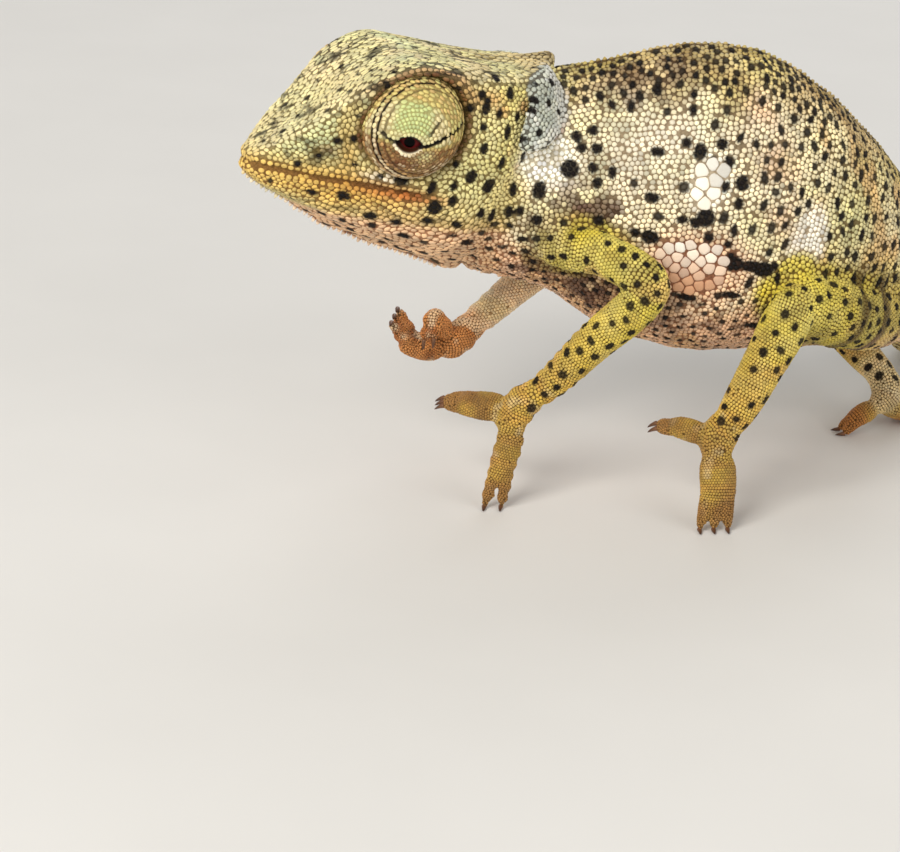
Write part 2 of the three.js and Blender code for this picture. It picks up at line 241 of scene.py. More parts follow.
# Half sections of the head: how far back, then crown, brow ridge, cheek, lip, jaw edge and throat, as
# out and up.
headRows = [
    (0, (0, 0.5), (0, 0.5), (0, 0.4), (0, 0.3), (0, 0.1), (0, 0)),
    (0.5, (0, 1.7), (1.1, 1.5), (1.6, 0.9), (1.7, 0.3), (1.2, -0.7), (0, -1.0)),
    (2, (0, 3.1), (2.6, 3.0), (2.7, 1.4), (2.6, 0.3), (1.9, -1.4), (0, -1.9)),
    (4.2, (0, 5.0), (4.1, 5.2), (3.9, 2.2), (3.8, 0.3), (2.9, -2.0), (0, -2.8)),
    (6.6, (0, 7.5), (5.1, 7.8), (4.8, 3.2), (4.6, 0.3), (3.7, -2.6), (0, -3.9)),
    (9, (0, 10.0), (6.1, 10.0), (5.4, 4), (5.2, 0.3), (4.2, -3.1), (0, -5.0)),
    (12.2, (0, 11.9), (6.7, 11.6), (6.0, 5), (5.7, 0.2), (4.7, -3.7), (0, -5.9)),
    (16, (0, 12.3), (6.7, 11.5), (6.5, 5), (6.2, 0), (5.2, -4.3), (0, -6.8)),
    (20.3, (0, 12.2), (6.0, 11.3), (6.9, 5), (6.6, 0), (5.4, -4.7), (0, -7.6)),
    (24.5, (0, 12.4), (4.6, 11.5), (6.0, 6), (5.4, 2), (4.2, -3.2), (0, -7.4)),
    (27.4, (0, 13.0), (2.3, 12.3), (3.3, 9.5), (2.8, 8), (2, 7), (0, 6.5)),
    (29, (0, 13.3), (0.3, 13), (0.5, 12.4), (0.4, 12), (0.3, 11.7), (0, 11.5)),
    (29.3, (0, 12.8), (0, 12.7), (0, 12.6), (0, 12.5), (0, 12.4), (0, 12.3)),
]
headLines = np.array([[(row[0], *corner) for corner in row[1:]] for row in headRows], float)


def headSurface(turn, angle, grow=-coatDepth):
    # the six feature lines at turn give six corners, and a spline through them is the half section,
    # from crown to throat over half a turn. Growing it moves each point out and up or down.
    turn, angle = np.broadcast_arrays(np.asarray(turn, float), np.asarray(angle, float))
    corners = spline(headLines, turn)
    padded = padEnds(corners, -2)
    place = np.abs(angle) / math.pi * 5
    index = np.minimum(place.astype(int), 4)
    w = (place - index)[..., None]
    neighbours = (np.take_along_axis(padded, (index + k)[..., None, None], -2)[..., 0, :] for k in range(4))
    places = catmullRom(*neighbours, w)
    middle = (corners[..., 0, 2] + corners[..., -1, 2]) / 2
    ends = step(0, 0.05, turn) * step(1, 0.97, turn)
    out = np.maximum(places[..., 1] + grow * ends * np.abs(np.sin(angle)), 0) * np.sign(angle)
    rise = places[..., 2] + grow * ends * np.sign(places[..., 2] - middle) * np.abs(np.cos(angle))
    pole = (turn <= 0) | (turn >= 1)
    return fromHead(np.stack([places[..., 0], np.where(pole, 0, out), np.where(pole, middle, rise)], -1))


spineStations = [
    (-14, -4.6, 30.5, 6, 9.2, 5), (-8, -2, 30.2, 9.0, 10.0, 6.2), (-2.5, -0.4, 29.6, 11.2, 11.0, 7.2),
    (4, 0, 28.6, 14.2, 13.5, 8.4), (11, 0.6, 27.6, 15.2, 14.3, 8.8), (17.5, 2.6, 26, 12.9, 13.0, 8.5),
    (23.2, 6, 23.6, 10.0, 11.4, 7.6), (28.2, 10.6, 19.8, 7.6, 9.0, 6.2), (31.6, 15.6, 15.6, 5.2, 5.9, 4.6),
    (34, 21, 11.6, 3.7, 3.8, 3.4), (35.8, 27.6, 7.6, 2.9), (37, 34.2, 4.3, 2.4), (38.8, 41, 2.0, 2.0),
    (42.6, 47.2, 1.6, 1.7), (48.4, 51, 1.4, 1.5), (54.6, 50.8, 1.2, 1.3), (59, 47, 1.0, 1.1),
    (59.4, 41.8, 0.85, 0.95), (56.2, 38.6, 0.7, 0.8), (52.6, 39.4, 0.6, 0.68), (51.8, 42.4, 0.5, 0.58),
]
spineStations = [row if len(row) != 5 else (*row, row[3]) for row in spineStations]
spineCount = len(spineStations) - 1
spineSamples = 420
spine = makePath(spineStations, narrow=0.16, roundness=60)

lobeThickness = 0.9
lobeSettling = {"rounds": 26, "share": 0.6, "width": 1.3}  # smoothing of the front edge into the temple
lobeStations = [(27.9, 2.2, 12.3, 0.9), (27.2, 3.8, 11.0, 2.2), (26.3, 5.5, 9.4, 3.0), (25.0, 6.8, 7.5, 2.6),
                (23.2, 7.3, 5.6, 1.4)]


def lobePath(side):
    rows = [(*fromHead((back, side * out, rise)), lobeThickness / 2, lobeThickness / 2, half)
            for back, out, rise, half in lobeStations]
    return makePath(rows, np.array([0.15, side, 0]) @ headAxes, roundness=4)


# Each limb: the upper and the lower length, the palm, and its two bundles of toes.
limbs = {
    "fore_left": {
        "facing": (0, -1, 0),
        "upper": [(-6, -4, 26, 2.4), (-3, -6.8, 25.2, 2.4), (0.8, -9.4, 25.2, 2.1), (4.2, -11.6, 24.3, 2.1),
                  (6.4, -12.2, 22.8, 2.0)],
        "lower": [(6.4, -12.2, 24.6, 2.0), (4.0, -12, 21.2, 2.1), (0.6, -11.2, 17.3, 1.95),
                  (-2.4, -10.2, 13.3, 1.7), (-5.2, -9.6, 10.2, 1.5)],
        "palm": [(-3.6, -9.8, 12.2, 1.6), (-5.9, -9.7, 9.6, 1.8), (-6.7, -10.1, 6.6, 1.4)],
        "bundles": [
            {"route": [(-5.9, -10, 8.4), (-6.8, -10.8, 4.6), (-7.5, -11.1, 0.2)], "toes": 2,
             "spread": (1.35, 0.2, 0), "claw": (-0.1, -1, -0.1)},
            {"route": [(-6.6, -9.2, 9.4), (-10.2, -8, 9.2), (-12.8, -7, 8.8)], "toes": 3,
             "spread": (0, 1.0, 0.3), "claw": (-1, 0.2, -0.3), "gather": 0.5}],
    },
    "hind_left": {
        "facing": (0, -1, 0),
        "upper": [(30.6, 8, 15.2, 3.4), (27, 3, 17, 3.7), (23.2, -2, 18.9, 3.6), (20, -5.8, 20.6, 3.0),
                  (17.8, -8.4, 21.6, 2.2)],
        "lower": [(19.6, -7, 22.8, 2.3), (18.2, -8.4, 19.4, 2.4), (16.4, -9.4, 15.4, 2.15),
                  (14.8, -10, 11.8, 1.95), (13.2, -10.2, 8.6, 1.7)],
        "palm": [(14.4, -10.1, 11, 1.7), (13, -10.2, 8.4, 1.9), (13, -11, 6, 1.5)],
        "bundles": [
            {"route": [(12.9, -10.6, 7.4), (13.3, -12.2, 4), (13.2, -12.8, 0.2)], "toes": 3,
             "spread": (1.15, 0.25, 0), "claw": (0.1, -1, -0.1)},
            {"route": [(12.4, -9.8, 8.2), (9.6, -8.6, 8.5), (7.3, -7.6, 8.1)], "toes": 2,
             "spread": (0, 1.1, 0.3), "claw": (-1, 0.2, -0.35), "gather": 0.6}],
    },
    "fore_right": {
        "facing": (0, 1, 0),
        "upper": [(-6.4, 3, 25, 2.4), (-5.2, 6, 23.6, 2.4), (-3.2, 8.4, 21.6, 2.1), (-1.4, 9.6, 19.6, 2.0),
                  (-0.4, 9.8, 18.2, 1.9)],
        "lower": [(0.2, 9.8, 20, 1.9), (-2.8, 8.6, 18.6, 2.0), (-6, 6.8, 16.4, 1.85), (-9, 4.8, 14, 1.65),
                  (-12, 2.8, 11.8, 1.5)],
        "palm": [(-9.6, 4.3, 13.5, 1.5), (-12.2, 2.4, 11.6, 1.8), (-14.2, 1.4, 11.2, 1.4)],
        "bundles": [
            {"route": [(-13.4, 1.4, 10.8), (-16.2, 0, 11.8), (-18, -1.4, 15)], "toes": 3,
             "spread": (0.2, 0.9, 0.3), "claw": (-0.1, -1, 0.2)},
            {"route": [(-12.8, 1.4, 12.4), (-14.2, -0.2, 14.6), (-14.6, -2, 13)], "toes": 2,
             "spread": (0.8, 0.2, 0.1), "claw": (0, -0.3, -1)}],
    },
    "hind_right": {
        "facing": (0, 1, 0),
        "upper": [(27.4, 13.4, 15.4, 3.2), (25, 18, 15.8, 3.4), (22.6, 22, 15.6, 3.0), (20.4, 25, 14.6, 2.6),
                  (19.2, 26.6, 13.4, 2.0)],
        "lower": [(18.8, 25.8, 15.6, 2.0), (22.8, 23.8, 12.8, 2.2), (26.8, 21.2, 9.4, 2.0),
                  (30.2, 18.9, 6.6, 1.8), (33.2, 17, 4.4, 1.6)],
        "palm": [(30.6, 18.7, 6.4, 1.6), (32.4, 16.8, 4, 1.75), (30.8, 15.4, 2.2, 1.3)],
        "bundles": [
            {"route": [(31.2, 15.4, 2.8), (29.4, 14.6, 1.8), (27.8, 14.2, 0.25)], "toes": 2,
             "spread": (0.3, -1.1, 0), "claw": (-1, -0.3, -0.1)},
            {"route": [(32, 16.2, 2.8), (33.8, 17.8, 1.6), (35.4, 19.2, 0.25)], "toes": 3,
             "spread": (0.8, -0.8, 0), "claw": (0.7, 0.7, -0.1)}],
    },
}
toeRadius = 0.62
clawSizes = {"radius": 0.24, "length": 1.05, "hook": 0.25, "rings": 14, "sides": 8}


def footPaths(limb):
    # the palm, the fused part of each bundle and its toes, with where each claw starts and points
    palm = makePath(limb["palm"], roundness=3)
    fused, toes, claws = [], [], []
    for bundle in limb["bundles"]:
        spread = np.array(bundle["spread"], float)
        width = np.linalg.norm(spread) * (bundle["toes"] - 1) / 2 + toeRadius
        root, middle, tip = np.array(bundle["route"], float)
        knuckle = middle + 0.45 * (tip - middle)
        gather = bundle.get("gather", 1)
        narrow = (1 + gather) / 2
        fused.append(makePath([(*root, width * 1.1, width * 1.1, toeRadius * 1.9),
                               (*middle, width, width, toeRadius * 1.6),
                               (*knuckle, width * 0.95 * narrow, width * 0.95 * narrow,
                                toeRadius * 1.25 * narrow)], spread, roundness=4))
        way = unit(np.array(bundle["claw"], float))
        for number in range(bundle["toes"]):
            shift = spread * (number - (bundle["toes"] - 1) / 2)
            end = tip + 1.15 * gather * shift
            toes.append(makePath([(*(middle + 0.9 * shift), toeRadius),
                                  (*(knuckle + narrow * shift), toeRadius),
                                  (*end, toeRadius * 0.8)], spread, roundness=5))
            claws.append((end, way))
    return palm, fused, toes, claws


for limb in limbs.values():
    limb["upperPath"] = makePath(limb["upper"], limb["facing"])
    limb["lowerPath"] = makePath(limb["lower"], limb["facing"])
    limb["palmPath"], limb["fusedPaths"], limb["toePaths"], limb["claws"] = footPaths(limb)

bothSides = ((-1, "left"), (1, "right"))

skinSettings = {
    "cell": 0.3,            # grid of the remesh, in millimetres
    "smoothing": 5,         # rounds of smoothing
    "relax": (0.55, -0.5),  # each round's move to the mean of the neighbours, and back from it
    "toeInset": 0.08,       # how far the toes lie inside their scales
    "ground": 0.02,         # least height of the skin
}


def neighbourMean(points, edges):
    total = np.zeros_like(points)
    counts = np.bincount(edges.ravel(), minlength=len(points)).astype(float)
    for axis in range(3):
        total[:, axis] = (np.bincount(edges[:, 0], points[edges[:, 1], axis], len(points))
                          + np.bincount(edges[:, 1], points[edges[:, 0], axis], len(points)))
    return total / np.maximum(counts, 1)[:, None]


def joinParts(parts):
    points, faceSets, start = [], [], 0
    for partPoints, partFaces in parts:
        points.append(partPoints)
        faceSets += [faces + start for faces in partFaces]
        start += len(partPoints)
    return np.concatenate(points), faceSets


def steadyPitch(size):
    return lambda turn, angle: size + 0 * turn * angle


def headScalePitch(turn, angle):
    return 0.27 + 0.05 * turn


def spinePitch(turn, angle):
    station = (1 - np.cos(math.pi * turn)) / 2 * spineCount
    base = np.interp(station, [0, 1.5, 3, 4.6, 6, 8, 10, 14, 20],
                     [0.4, 0.43, 0.46, 0.43, 0.42, 0.42, 0.4, 0.36, 0.28])
    belly = step(1.9, 2.5, np.abs(angle)) * step(9, 7, station)
    return base * (1 - 0.1 * belly)


def bodyParts():
    # Each length of the body: its name and surface, the rings and sides of its form, and the pitch and
    # the priority of its scales.
    inset = skinSettings["toeInset"]
    parts = [("head", headSurface, 90, 72, headScalePitch, 0.5),
             ("spine", roundLoft(spine, -coatDepth), 300, 64, spinePitch, 1)]
    parts += [(name, roundLoft(lobePath(side), -coatDepth / 2), 24, 24, steadyPitch(0.49), 0.4)
              for side, name in ((-1, "flapLeft"), (1, "flapRight"))]
    for name, limb in limbs.items():
        lengths = [(limb["upperPath"], coatDepth, 40, 28, 0.38, 2),
                   (limb["lowerPath"], coatDepth, 40, 28, 0.34, 2),
                   (limb["palmPath"], coatDepth, 24, 24, 0.29, 3)]
        lengths += [(path, inset, 20, 20, 0.27, 4) for path in limb["fusedPaths"]]
        lengths += [(path, inset, 20, 20, 0.24, 5) for path in limb["toePaths"]]
        parts += [(name, roundLoft(path, -depth), rings, sides, steadyPitch(pitch), priority)
                  for path, depth, rings, sides, pitch, priority in lengths]
    return parts


def makeSkinForm():
    # every length of the body as a closed form, joined by a fine remesh into one skin
    points, faceSets = joinParts([ballMesh(*part[1:4]) for part in bodyParts()])
    draft = addObject("draft", makeMesh("draft", points, faceSets))
    remesh = draft.modifiers.new("remesh", "REMESH")
    remesh.mode = "VOXEL"
    remesh.voxel_size = skinSettings["cell"]
    remesh.adaptivity = 0
    mesh = evaluated(draft)
    bpy.data.objects.remove(draft)
    points = getPoints(mesh)
    edges = np.empty(len(mesh.edges) * 2, np.int32)
    mesh.edges.foreach_get("vertices", edges)
    edges = edges.reshape(-1, 2)
    for share in skinSettings["relax"] * skinSettings["smoothing"]:
        points = points + share * (neighbourMean(points, edges) - points)
    return mesh, points, edges


print("body form", flush=True)
skinMesh, skinPoints, skinEdges = makeSkinForm()
print("skin has", len(skinPoints), "vertices", flush=True)


def normalsOf(mesh, points):
    mesh.vertices.foreach_set("co", points.astype(np.float32).ravel())
    mesh.update()
    flat = np.empty(len(mesh.vertices) * 3, np.float32)
    mesh.vertex_normals.foreach_get("vector", flat)
    return flat.reshape(-1, 3).astype(float)


# folds, ridges and pits of the skin, as moves along its normal

eyeSettings = {
    "centre": np.array([13.05, 5.1, 6.25]),   # back, out, up
    "radius": 4.9, "bulge": 4.3,
    "gaze": np.array([-0.425, 0.873, -0.238]),
    "socket": 4.84, "socketFloor": 5.4, "socketEdge": 0.12,
    "opening": (17.5, 9.5, 10.5),           # half width, rise above and drop below the middle, in degrees
}
headDetails = {
    "mouthUp": 0.35, "mouthEnd": 17.4, "mouthDepth": 0.28, "mouthWidth": 0.26,
    "nostril": np.array([4.9, 4.2, 2.65]), "nostrilSize": 0.42, "nostrilDepth": 0.55,
    "ridgeHeight": 0.02, "ridgeWidth": 0.5,
}


def lineDistance(points, line):
    # distance from each point to the nearest of a curve's closely set points
    squares = (line ** 2).sum(1)[None] - 2 * points @ line.T
    return np.sqrt(np.maximum(squares.min(1) + (points ** 2).sum(1), 0))


def mouthRise(back):
    return headDetails["mouthUp"] - 0.25 * step(9, 17, back)


def shapeHead(points, normals):
    places = toHead(points)
    back, out, rise = places[:, 0], np.abs(places[:, 1]), places[:, 2]
    close = (back < 33) & (back > -2) & (out < 12)
    move = np.zeros(len(points))
    mirrored = np.stack([back, out, rise], 1)
    # brow ridge from the nose to the back of the casque
    ridge = spline(headLines[:, 1], np.linspace(0.1, 0.93, 260))
    ridgeGap = np.full(len(points), 9.0)
    ridgeGap[close] = lineDistance(mirrored[close], ridge)
    move += headDetails["ridgeHeight"] * bell(ridgeGap, 0, headDetails["ridgeWidth"]) * step(1.0, 4.0, back)
    # keel along the middle of the casque
    move += 0.25 * bell(out, 0, 0.5) * step(14, 20, back) * (rise > 9) * close
    # mouth line, with full lips on both sides of it
    line = rise - mouthRise(back)
    mouth = step(headDetails["mouthEnd"], headDetails["mouthEnd"] - 1.2, back) * (np.abs(rise) < 2.5) * close
    move -= headDetails["mouthDepth"] * bell(line, 0, headDetails["mouthWidth"]) * mouth
    move += (0.12 * bell(line, 0.62, 0.4) + 0.1 * bell(line, -0.62, 0.4)) * mouth
    # nostril
    pit = np.linalg.norm((mirrored - headDetails["nostril"]) * (1, 0.6, 1), axis=1)
    move -= headDetails["nostrilDepth"] * bell(pit, 0, headDetails["nostrilSize"])
    move += 0.14 * bell(pit, 0.75, 0.3)
    # hollow between nose and eye, and the swell of the jaw muscles behind the eye
    move -= 0.35 * bell(back, 7.0, 2.4) * bell(rise, 5.0, 1.8) * (out > 2)
    move += 0.35 * bell(back, 20.5, 2.6) * bell(rise, 4.5, 3.2) * (out > 3)
    # folds that curve round behind the corner of the mouth
    corner = np.hypot(back - 15.5, (rise + 0.2) * 0.9)
    behind = (back > 15.5) * (rise < 3.5) * (out > 2)
    move += 0.09 * np.sin(corner * 2 * math.pi / 1.05) * bell(corner, 3.6, 1.8) * behind
    # jaw edge and folds along the throat
    jaw = spline(headLines[:, 4], np.linspace(0.15, 0.72, 160))
    jawGap = np.full(len(points), 9.0)
    jawGap[close] = lineDistance(mirrored[close], jaw)
    move += 0.16 * bell(jawGap, 0, 0.45)
    pleats = np.sin(rise * 2 * math.pi / 1.15 + 0.25 * back) * step(-2.6, -3.4, rise) * step(4, 8, back)
    move += 0.07 * pleats * close
    return points + normals * move[:, None]


def cutSockets(points):
    # Inside the eye's circle the skin is pressed in to a shallow cup that the lids' dome stands in.
    places = toHead(points)
    centre, side = eyeSettings["centre"], np.sign(places[:, 1])
    reach = np.hypot(places[:, 0] - centre[0], places[:, 2] - centre[2])
    out = np.abs(places[:, 1])
    edge = eyeSettings["socketEdge"]
    inside = step(eyeSettings["socket"] + edge, eyeSettings["socket"] - edge, reach) * (out > 2.5)
    floorOut = np.minimum(out, eyeSettings["socketFloor"])
    past = reach - eyeSettings["socket"]
    rim = 0.22 * bell(past, 0.75, 0.38) - 0.1 * bell(past, 1.35, 0.22)
    places[:, 1] = side * (out + inside * (floorOut - out) + rim * (out > 3.2) * (1 - inside))
    return fromHead(places)


def shapeBody(points, normals):
    along, angle, ratio = placeOnPath(spine, points, spineSamples)
    station = along * spineCount
    body = step(1.5, 1.1, ratio)
    lean = points[:, 0] + 0.35 * points[:, 2]
    move = 0.05 * np.sin(lean * 2 * math.pi / 3.1) * step(2, 3.4, station) * step(8.5, 6, station) * body
    # folds of loose skin in front of the thigh and behind the shoulder
    groin = points @ unit(np.array([1.0, 0.35, -0.65]))
    folds = np.sin(groin * 2 * math.pi / 1.6) * body
    move += 0.13 * folds * bell(station, 5.6, 0.8) * bell(np.abs(angle), 2.0, 0.5)
    neck = step(-0.2, 0.6, station) * step(2.4, 1.2, station) * (np.abs(angle) > 1.2)
    move += 0.1 * np.sin(lean * 2 * math.pi / 1.35) * neck * body
    # keel along the back
    move += 0.22 * bell(np.abs(angle), 0, 0.07) * step(0.8, 2.0, station) * step(9, 7.5, station) * body
    return points + normals * move[:, None]


def placeOnPath(path, points, samples):
    # for each point the nearest place along the path's line, from 0 to 1, its angle from the top, and
    # how far out it is as a share of the section's size there
    share = np.linspace(0, 1, samples)
    centre, tangent, side, above, size = pathFrame(path, share)
    nearest = np.empty(len(points), int)
    squares = (centre ** 2).sum(1)
    for start in range(0, len(points), batch):
        part = slice(start, start + batch)
        nearest[part] = (squares[None] - 2 * points[part] @ centre.T).argmin(1)
    away = points - centre[nearest]
    length = np.linalg.norm(np.gradient(centre, share, axis=0), axis=1)
    along = share[nearest] + (away * tangent[nearest]).sum(1) / length[nearest]
    beyond = (along - np.clip(along, 0, 1)) * length[nearest] / size[nearest, 2]
    rise = (away * above[nearest]).sum(1)
    out = (away * side[nearest]).sum(1)
    tall = np.where(rise > 0, size[nearest, 0], size[nearest, 1])
    tallShare, wideShare = rise / tall, out / size[nearest, 2]
    ratio = np.sqrt(tallShare ** 2 + wideShare ** 2 + beyond ** 2)
    return np.clip(along, 0, 1), np.arctan2(wideShare, tallShare), ratio


def settleFlaps(points, edges):
    # the front edge of each flap is smoothed into the skin of the temple
    places = toHead(points)
    places[:, 1] = np.abs(places[:, 1])
    local = makePath([(back, out, rise, half) for back, out, rise, half in lobeStations], (0.15, 1, 0))
    centre, _, side, _, size = pathFrame(local, np.linspace(0.05, 0.95, 90))
    edge = centre - side * np.sign(side[:, :1]) * size[:, 2:]
    close = np.flatnonzero((places[:, 0] > 18) & (places[:, 0] < 31) & (places[:, 1] < 10))
    weight = np.zeros(len(points))
    weight[close] = bell(lineDistance(places[close], edge), 0, lobeSettling["width"])
    share = lobeSettling["share"] * weight[:, None]
    for _ in range(lobeSettling["rounds"]):
        points = points + share * (neighbourMean(points, edges) - points)
    return points


skinPoints = settleFlaps(skinPoints, skinEdges)
skinPoints = shapeHead(skinPoints, normalsOf(skinMesh, skinPoints))
skinPoints = shapeBody(skinPoints, normalsOf(skinMesh, skinPoints))
skinPoints = cutSockets(skinPoints)
skinPoints[:, 2] = np.maximum(skinPoints[:, 2], skinSettings["ground"])
skinMesh.name = "skin"
normalsOf(skinMesh, toFrame(skinPoints))
print("skin shaped", flush=True)

# finding neighbours, thinning and evening out places on the skin


def near(points, others, reach, count):
    # For each point, the nearest others within reach: their numbers and how far off they are, infinite
    # where there is none. The others are sorted into cubes with sides of reach, and each point looks
    # through the 27 cubes round its own, in nine runs of three that lie together in the sorting.
    low = np.minimum(points.min(0), others.min(0)) - 2 * reach
    size = ((np.maximum(points.max(0), others.max(0)) - low) / reach).astype(np.int64) + 3
    weights = np.array([size[1] * size[2], size[2], 1])
    otherKeys = ((others - low) / reach).astype(np.int64) @ weights
    order = np.argsort(otherKeys, kind="stable")
    sortedKeys = otherKeys[order]
    keys = ((points - low) / reach).astype(np.int64) @ weights
    found = np.zeros((len(points), count), np.int64)
    gaps = np.full((len(points), count), np.inf)
    for start in range(0, len(points), batch):
        part = slice(start, start + batch)
        numbers, lengths = [found[part]], [gaps[part]]
        for across, deep in itertools.product((-1, 0, 1), repeat=2):
            middle = keys[part] + across * weights[0] + deep * weights[1]
            first = np.searchsorted(sortedKeys, middle - 1, "left")
            last = np.searchsorted(sortedKeys, middle + 1, "right")
            most = (last - first).max()
            if most == 0:
                continue
            place = first[:, None] + np.arange(most)
            index = order[np.minimum(place, len(order) - 1)]
            gap = np.linalg.norm(others[index] - points[part, None], axis=2)
            gap[(place >= last[:, None]) | (gap > reach)] = np.inf
            numbers.append(index)
            lengths.append(gap)
        allNumbers, allLengths = np.concatenate(numbers, 1), np.concatenate(lengths, 1)
        best = np.argpartition(allLengths, count - 1, axis=1)[:, :count]
        found[part] = np.take_along_axis(allNumbers, best, 1)
        gaps[part] = np.take_along_axis(allLengths, best, 1)
    return found, gaps


def apart(roots, others, index, gaps):
    # Offsets to the others along and across each root's own way, the first shortened by its stretch.
    # Those that face away, such as the ones on the far side of a flap, do not count.
    away = others["points"][index] - roots["points"][:, None]
    normal = roots["normal"][:, None]
    away = away - normal * (away * normal).sum(2, keepdims=True)
    across = np.cross(roots["normal"], roots["way"])
    x = (away * roots["way"][:, None]).sum(2) / roots["stretch"][:, None]
    y = (away * across[:, None]).sum(2)
    facing = (others["normal"][index] * normal).sum(2) > 0.2
    real = (gaps < np.inf) & (gaps > 1e-6) & facing
    return x, y, np.where(real, np.hypot(x, y), np.inf)


def flatWays(roots):
    way = roots["way"] - roots["normal"] * (roots["way"] * roots["normal"]).sum(1, keepdims=True)
    roots["way"] = unit(way)


def thinOut(roots, share, reach, count=18):
    # Keeps roots in random order, dropping any that lies closer to a kept one than its share of the
    # wanted spacing.
    index, gaps = near(roots["points"], roots["points"], reach, count)
    _, _, length = apart(roots, roots, index, gaps)
    wanted = (roots["want"][:, None] + roots["want"][index]) / 2
    close = length < share * wanted
    score = roots["score"]
    alive, kept = np.ones(len(score), bool), np.zeros(len(score), bool)
    for _ in range(12):
        rival = np.where(close & alive[index], score[index], np.inf).min(1)
        kept |= alive & (score < rival)
        alive &= kept | ~(kept[index] & close).any(1)
    return pick(roots, kept)


def evenOut(roots, rounds, reach):
    # each root is pushed off the neighbours that are nearer than the wanted spacing, along the skin
    for _ in range(rounds):
        index, gaps = near(roots["points"], roots["points"], reach, 10)
        x, y, length = apart(roots, roots, index, gaps)
        wanted = (roots["want"][:, None] + roots["want"][index]) / 2
        push = np.clip(1 - length / (1.08 * wanted), 0, 1) * wanted * 0.4
        safe = np.maximum(length, 1e-6)
        moveX = -(push * x / safe).sum(1) * roots["stretch"]
        moveY = -(push * y / safe).sum(1)
        across = np.cross(roots["normal"], roots["way"])
        roots["points"] = roots["points"] + roots["way"] * moveX[:, None] + across * moveY[:, None]


def addOutlines(roots, others, sides, reach, widest, count=12):
    # Each scale's outline as its own cell between its neighbours: in each of a few directions the
    # distance to the nearest line that parts it from a neighbour, which lies at own / (own + other) of
    # the way there. The first direction is turned to meet a corner of the cell.
    index, gaps = near(roots["points"], others["points"], reach, count)
    x, y, length = apart(roots, others, index, gaps)
    part = roots["want"][:, None] / (roots["want"][:, None] + others["want"][index])
    nearest = length.argmin(1)[:, None]
    turn = np.arctan2(np.take_along_axis(y, nearest, 1), np.take_along_axis(x, nearest, 1))
    angles = turn + math.pi / 6 + np.arange(sides) * 2 * math.pi / sides
    heading = np.arctan2(y, x)
    reachOut = np.tile(widest * roots["want"][:, None], (1, sides))
    for k in range(sides):
        toward = np.cos(angles[:, k, None] - heading)
        ahead = (toward > 0.25) & (length < np.inf)
        cut = np.where(ahead, length * part / np.maximum(toward, 0.25), np.inf)
        reachOut[:, k] = np.minimum(reachOut[:, k], cut.min(1))
    reachOut = np.maximum(reachOut, 0.3 * roots["want"][:, None])
    roots["outline"] = np.stack([reachOut * np.cos(angles) * roots["stretch"][:, None],
                                 reachOut * np.sin(angles)], 2)


# places for scales

coatSettings = {
    "headSpan": (0.02, 0.97),   # turns of the head between which it has rows
    "strayed": (0.9, 0.5),      # how far the skin may lie from a place, on head and flaps and elsewhere
    "loose": (0.16, 0.05),      # how far places are shifted at random, on the trunk and elsewhere
    "thin": 0.78,               # nearest that two scales may lie, as a share of their pitch
    "lidThin": 0.76,
    "reach": 0.9,               # how far a scale's neighbours are looked for, in millimetres
    "bend": 2.5,                # how strongly the rows bend round the eye and the mouth's corner
    "bigReach": (1.4, 1.6),     # the same reach for the larger scales, in thinning and in evening out
    "bigRoom": (0.46, 1.05),    # room beside a larger scale: share of both pitches, and its own pitch
}
# how far scales keep off the socket, the mouth line, the nostrils and rows of larger scales, and how
# high over the ground one may lie flat against it
keepOff = {"socket": 0.1, "mouth": 0.15, "nostril": 0.4, "row": 0.34, "ground": 0.12}
rowShare = math.sqrt(3) / 2  # how far apart rows lie, as a share of the pitch


def candidates(name, surface, pitch, first, last, priority=0.0):
    # Rows round a surface, each row shifted by half a step from the last. pitch is the step, a function
    # of turn and angle, and the rows lie rowShare of it apart.
    turns = np.linspace(max(first, 0.002), min(last, 0.998), 900)
    ring = np.linspace(-math.pi, math.pi, 48, endpoint=False)
    run = np.linalg.norm(np.diff(surface(turns[:, None], ring[None]), axis=0), axis=2).mean(1)
    between = (turns[1:] + turns[:-1]) / 2
    rowPitch = pitch(between[:, None], ring[None]).mean(1) * rowShare
    passed = np.concatenate([[0], np.cumsum(run / rowPitch)])
    rowTurns = np.interp(np.arange(0.5, passed[-1]), passed, turns)
    fineRing = np.linspace(-math.pi, math.pi, 241)
    rings = surface(rowTurns[:, None], fineRing[None])
    middle = (fineRing[1:] + fineRing[:-1]) / 2
    shares = np.linalg.norm(np.diff(rings, axis=1), axis=2) / pitch(rowTurns[:, None], middle[None])
    totals = shares.sum(1)
    counts = np.maximum(np.round(totals), 3).astype(int)
    passed = np.concatenate([np.zeros((len(rowTurns), 1)), np.cumsum(shares, 1)], 1) / totals[:, None]
    angle = np.concatenate([np.interp((np.arange(n) + 0.25 + 0.5 * (row % 2)) / n, passed[row], fineRing)
                            for row, n in enumerate(counts)])
    turn = np.repeat(rowTurns, counts)
    way = unit(surface(np.minimum(turn + nudge, 1), angle) - surface(np.maximum(turn - nudge, 0), angle))
    return {"part": np.full(len(turn), name), "points": surface(turn, angle), "way": way, "turn": turn,
            "angle": angle, "want": pitch(turn, angle) * np.ones(len(turn)),
            "score": rng.uniform(0, 1, len(turn)) + priority}


def joinRoots(sets):
    return {key: np.concatenate([roots[key] for roots in sets]) for key in sets[0]}


def pick(roots, mask):
    return {key: values[mask] for key, values in roots.items()}


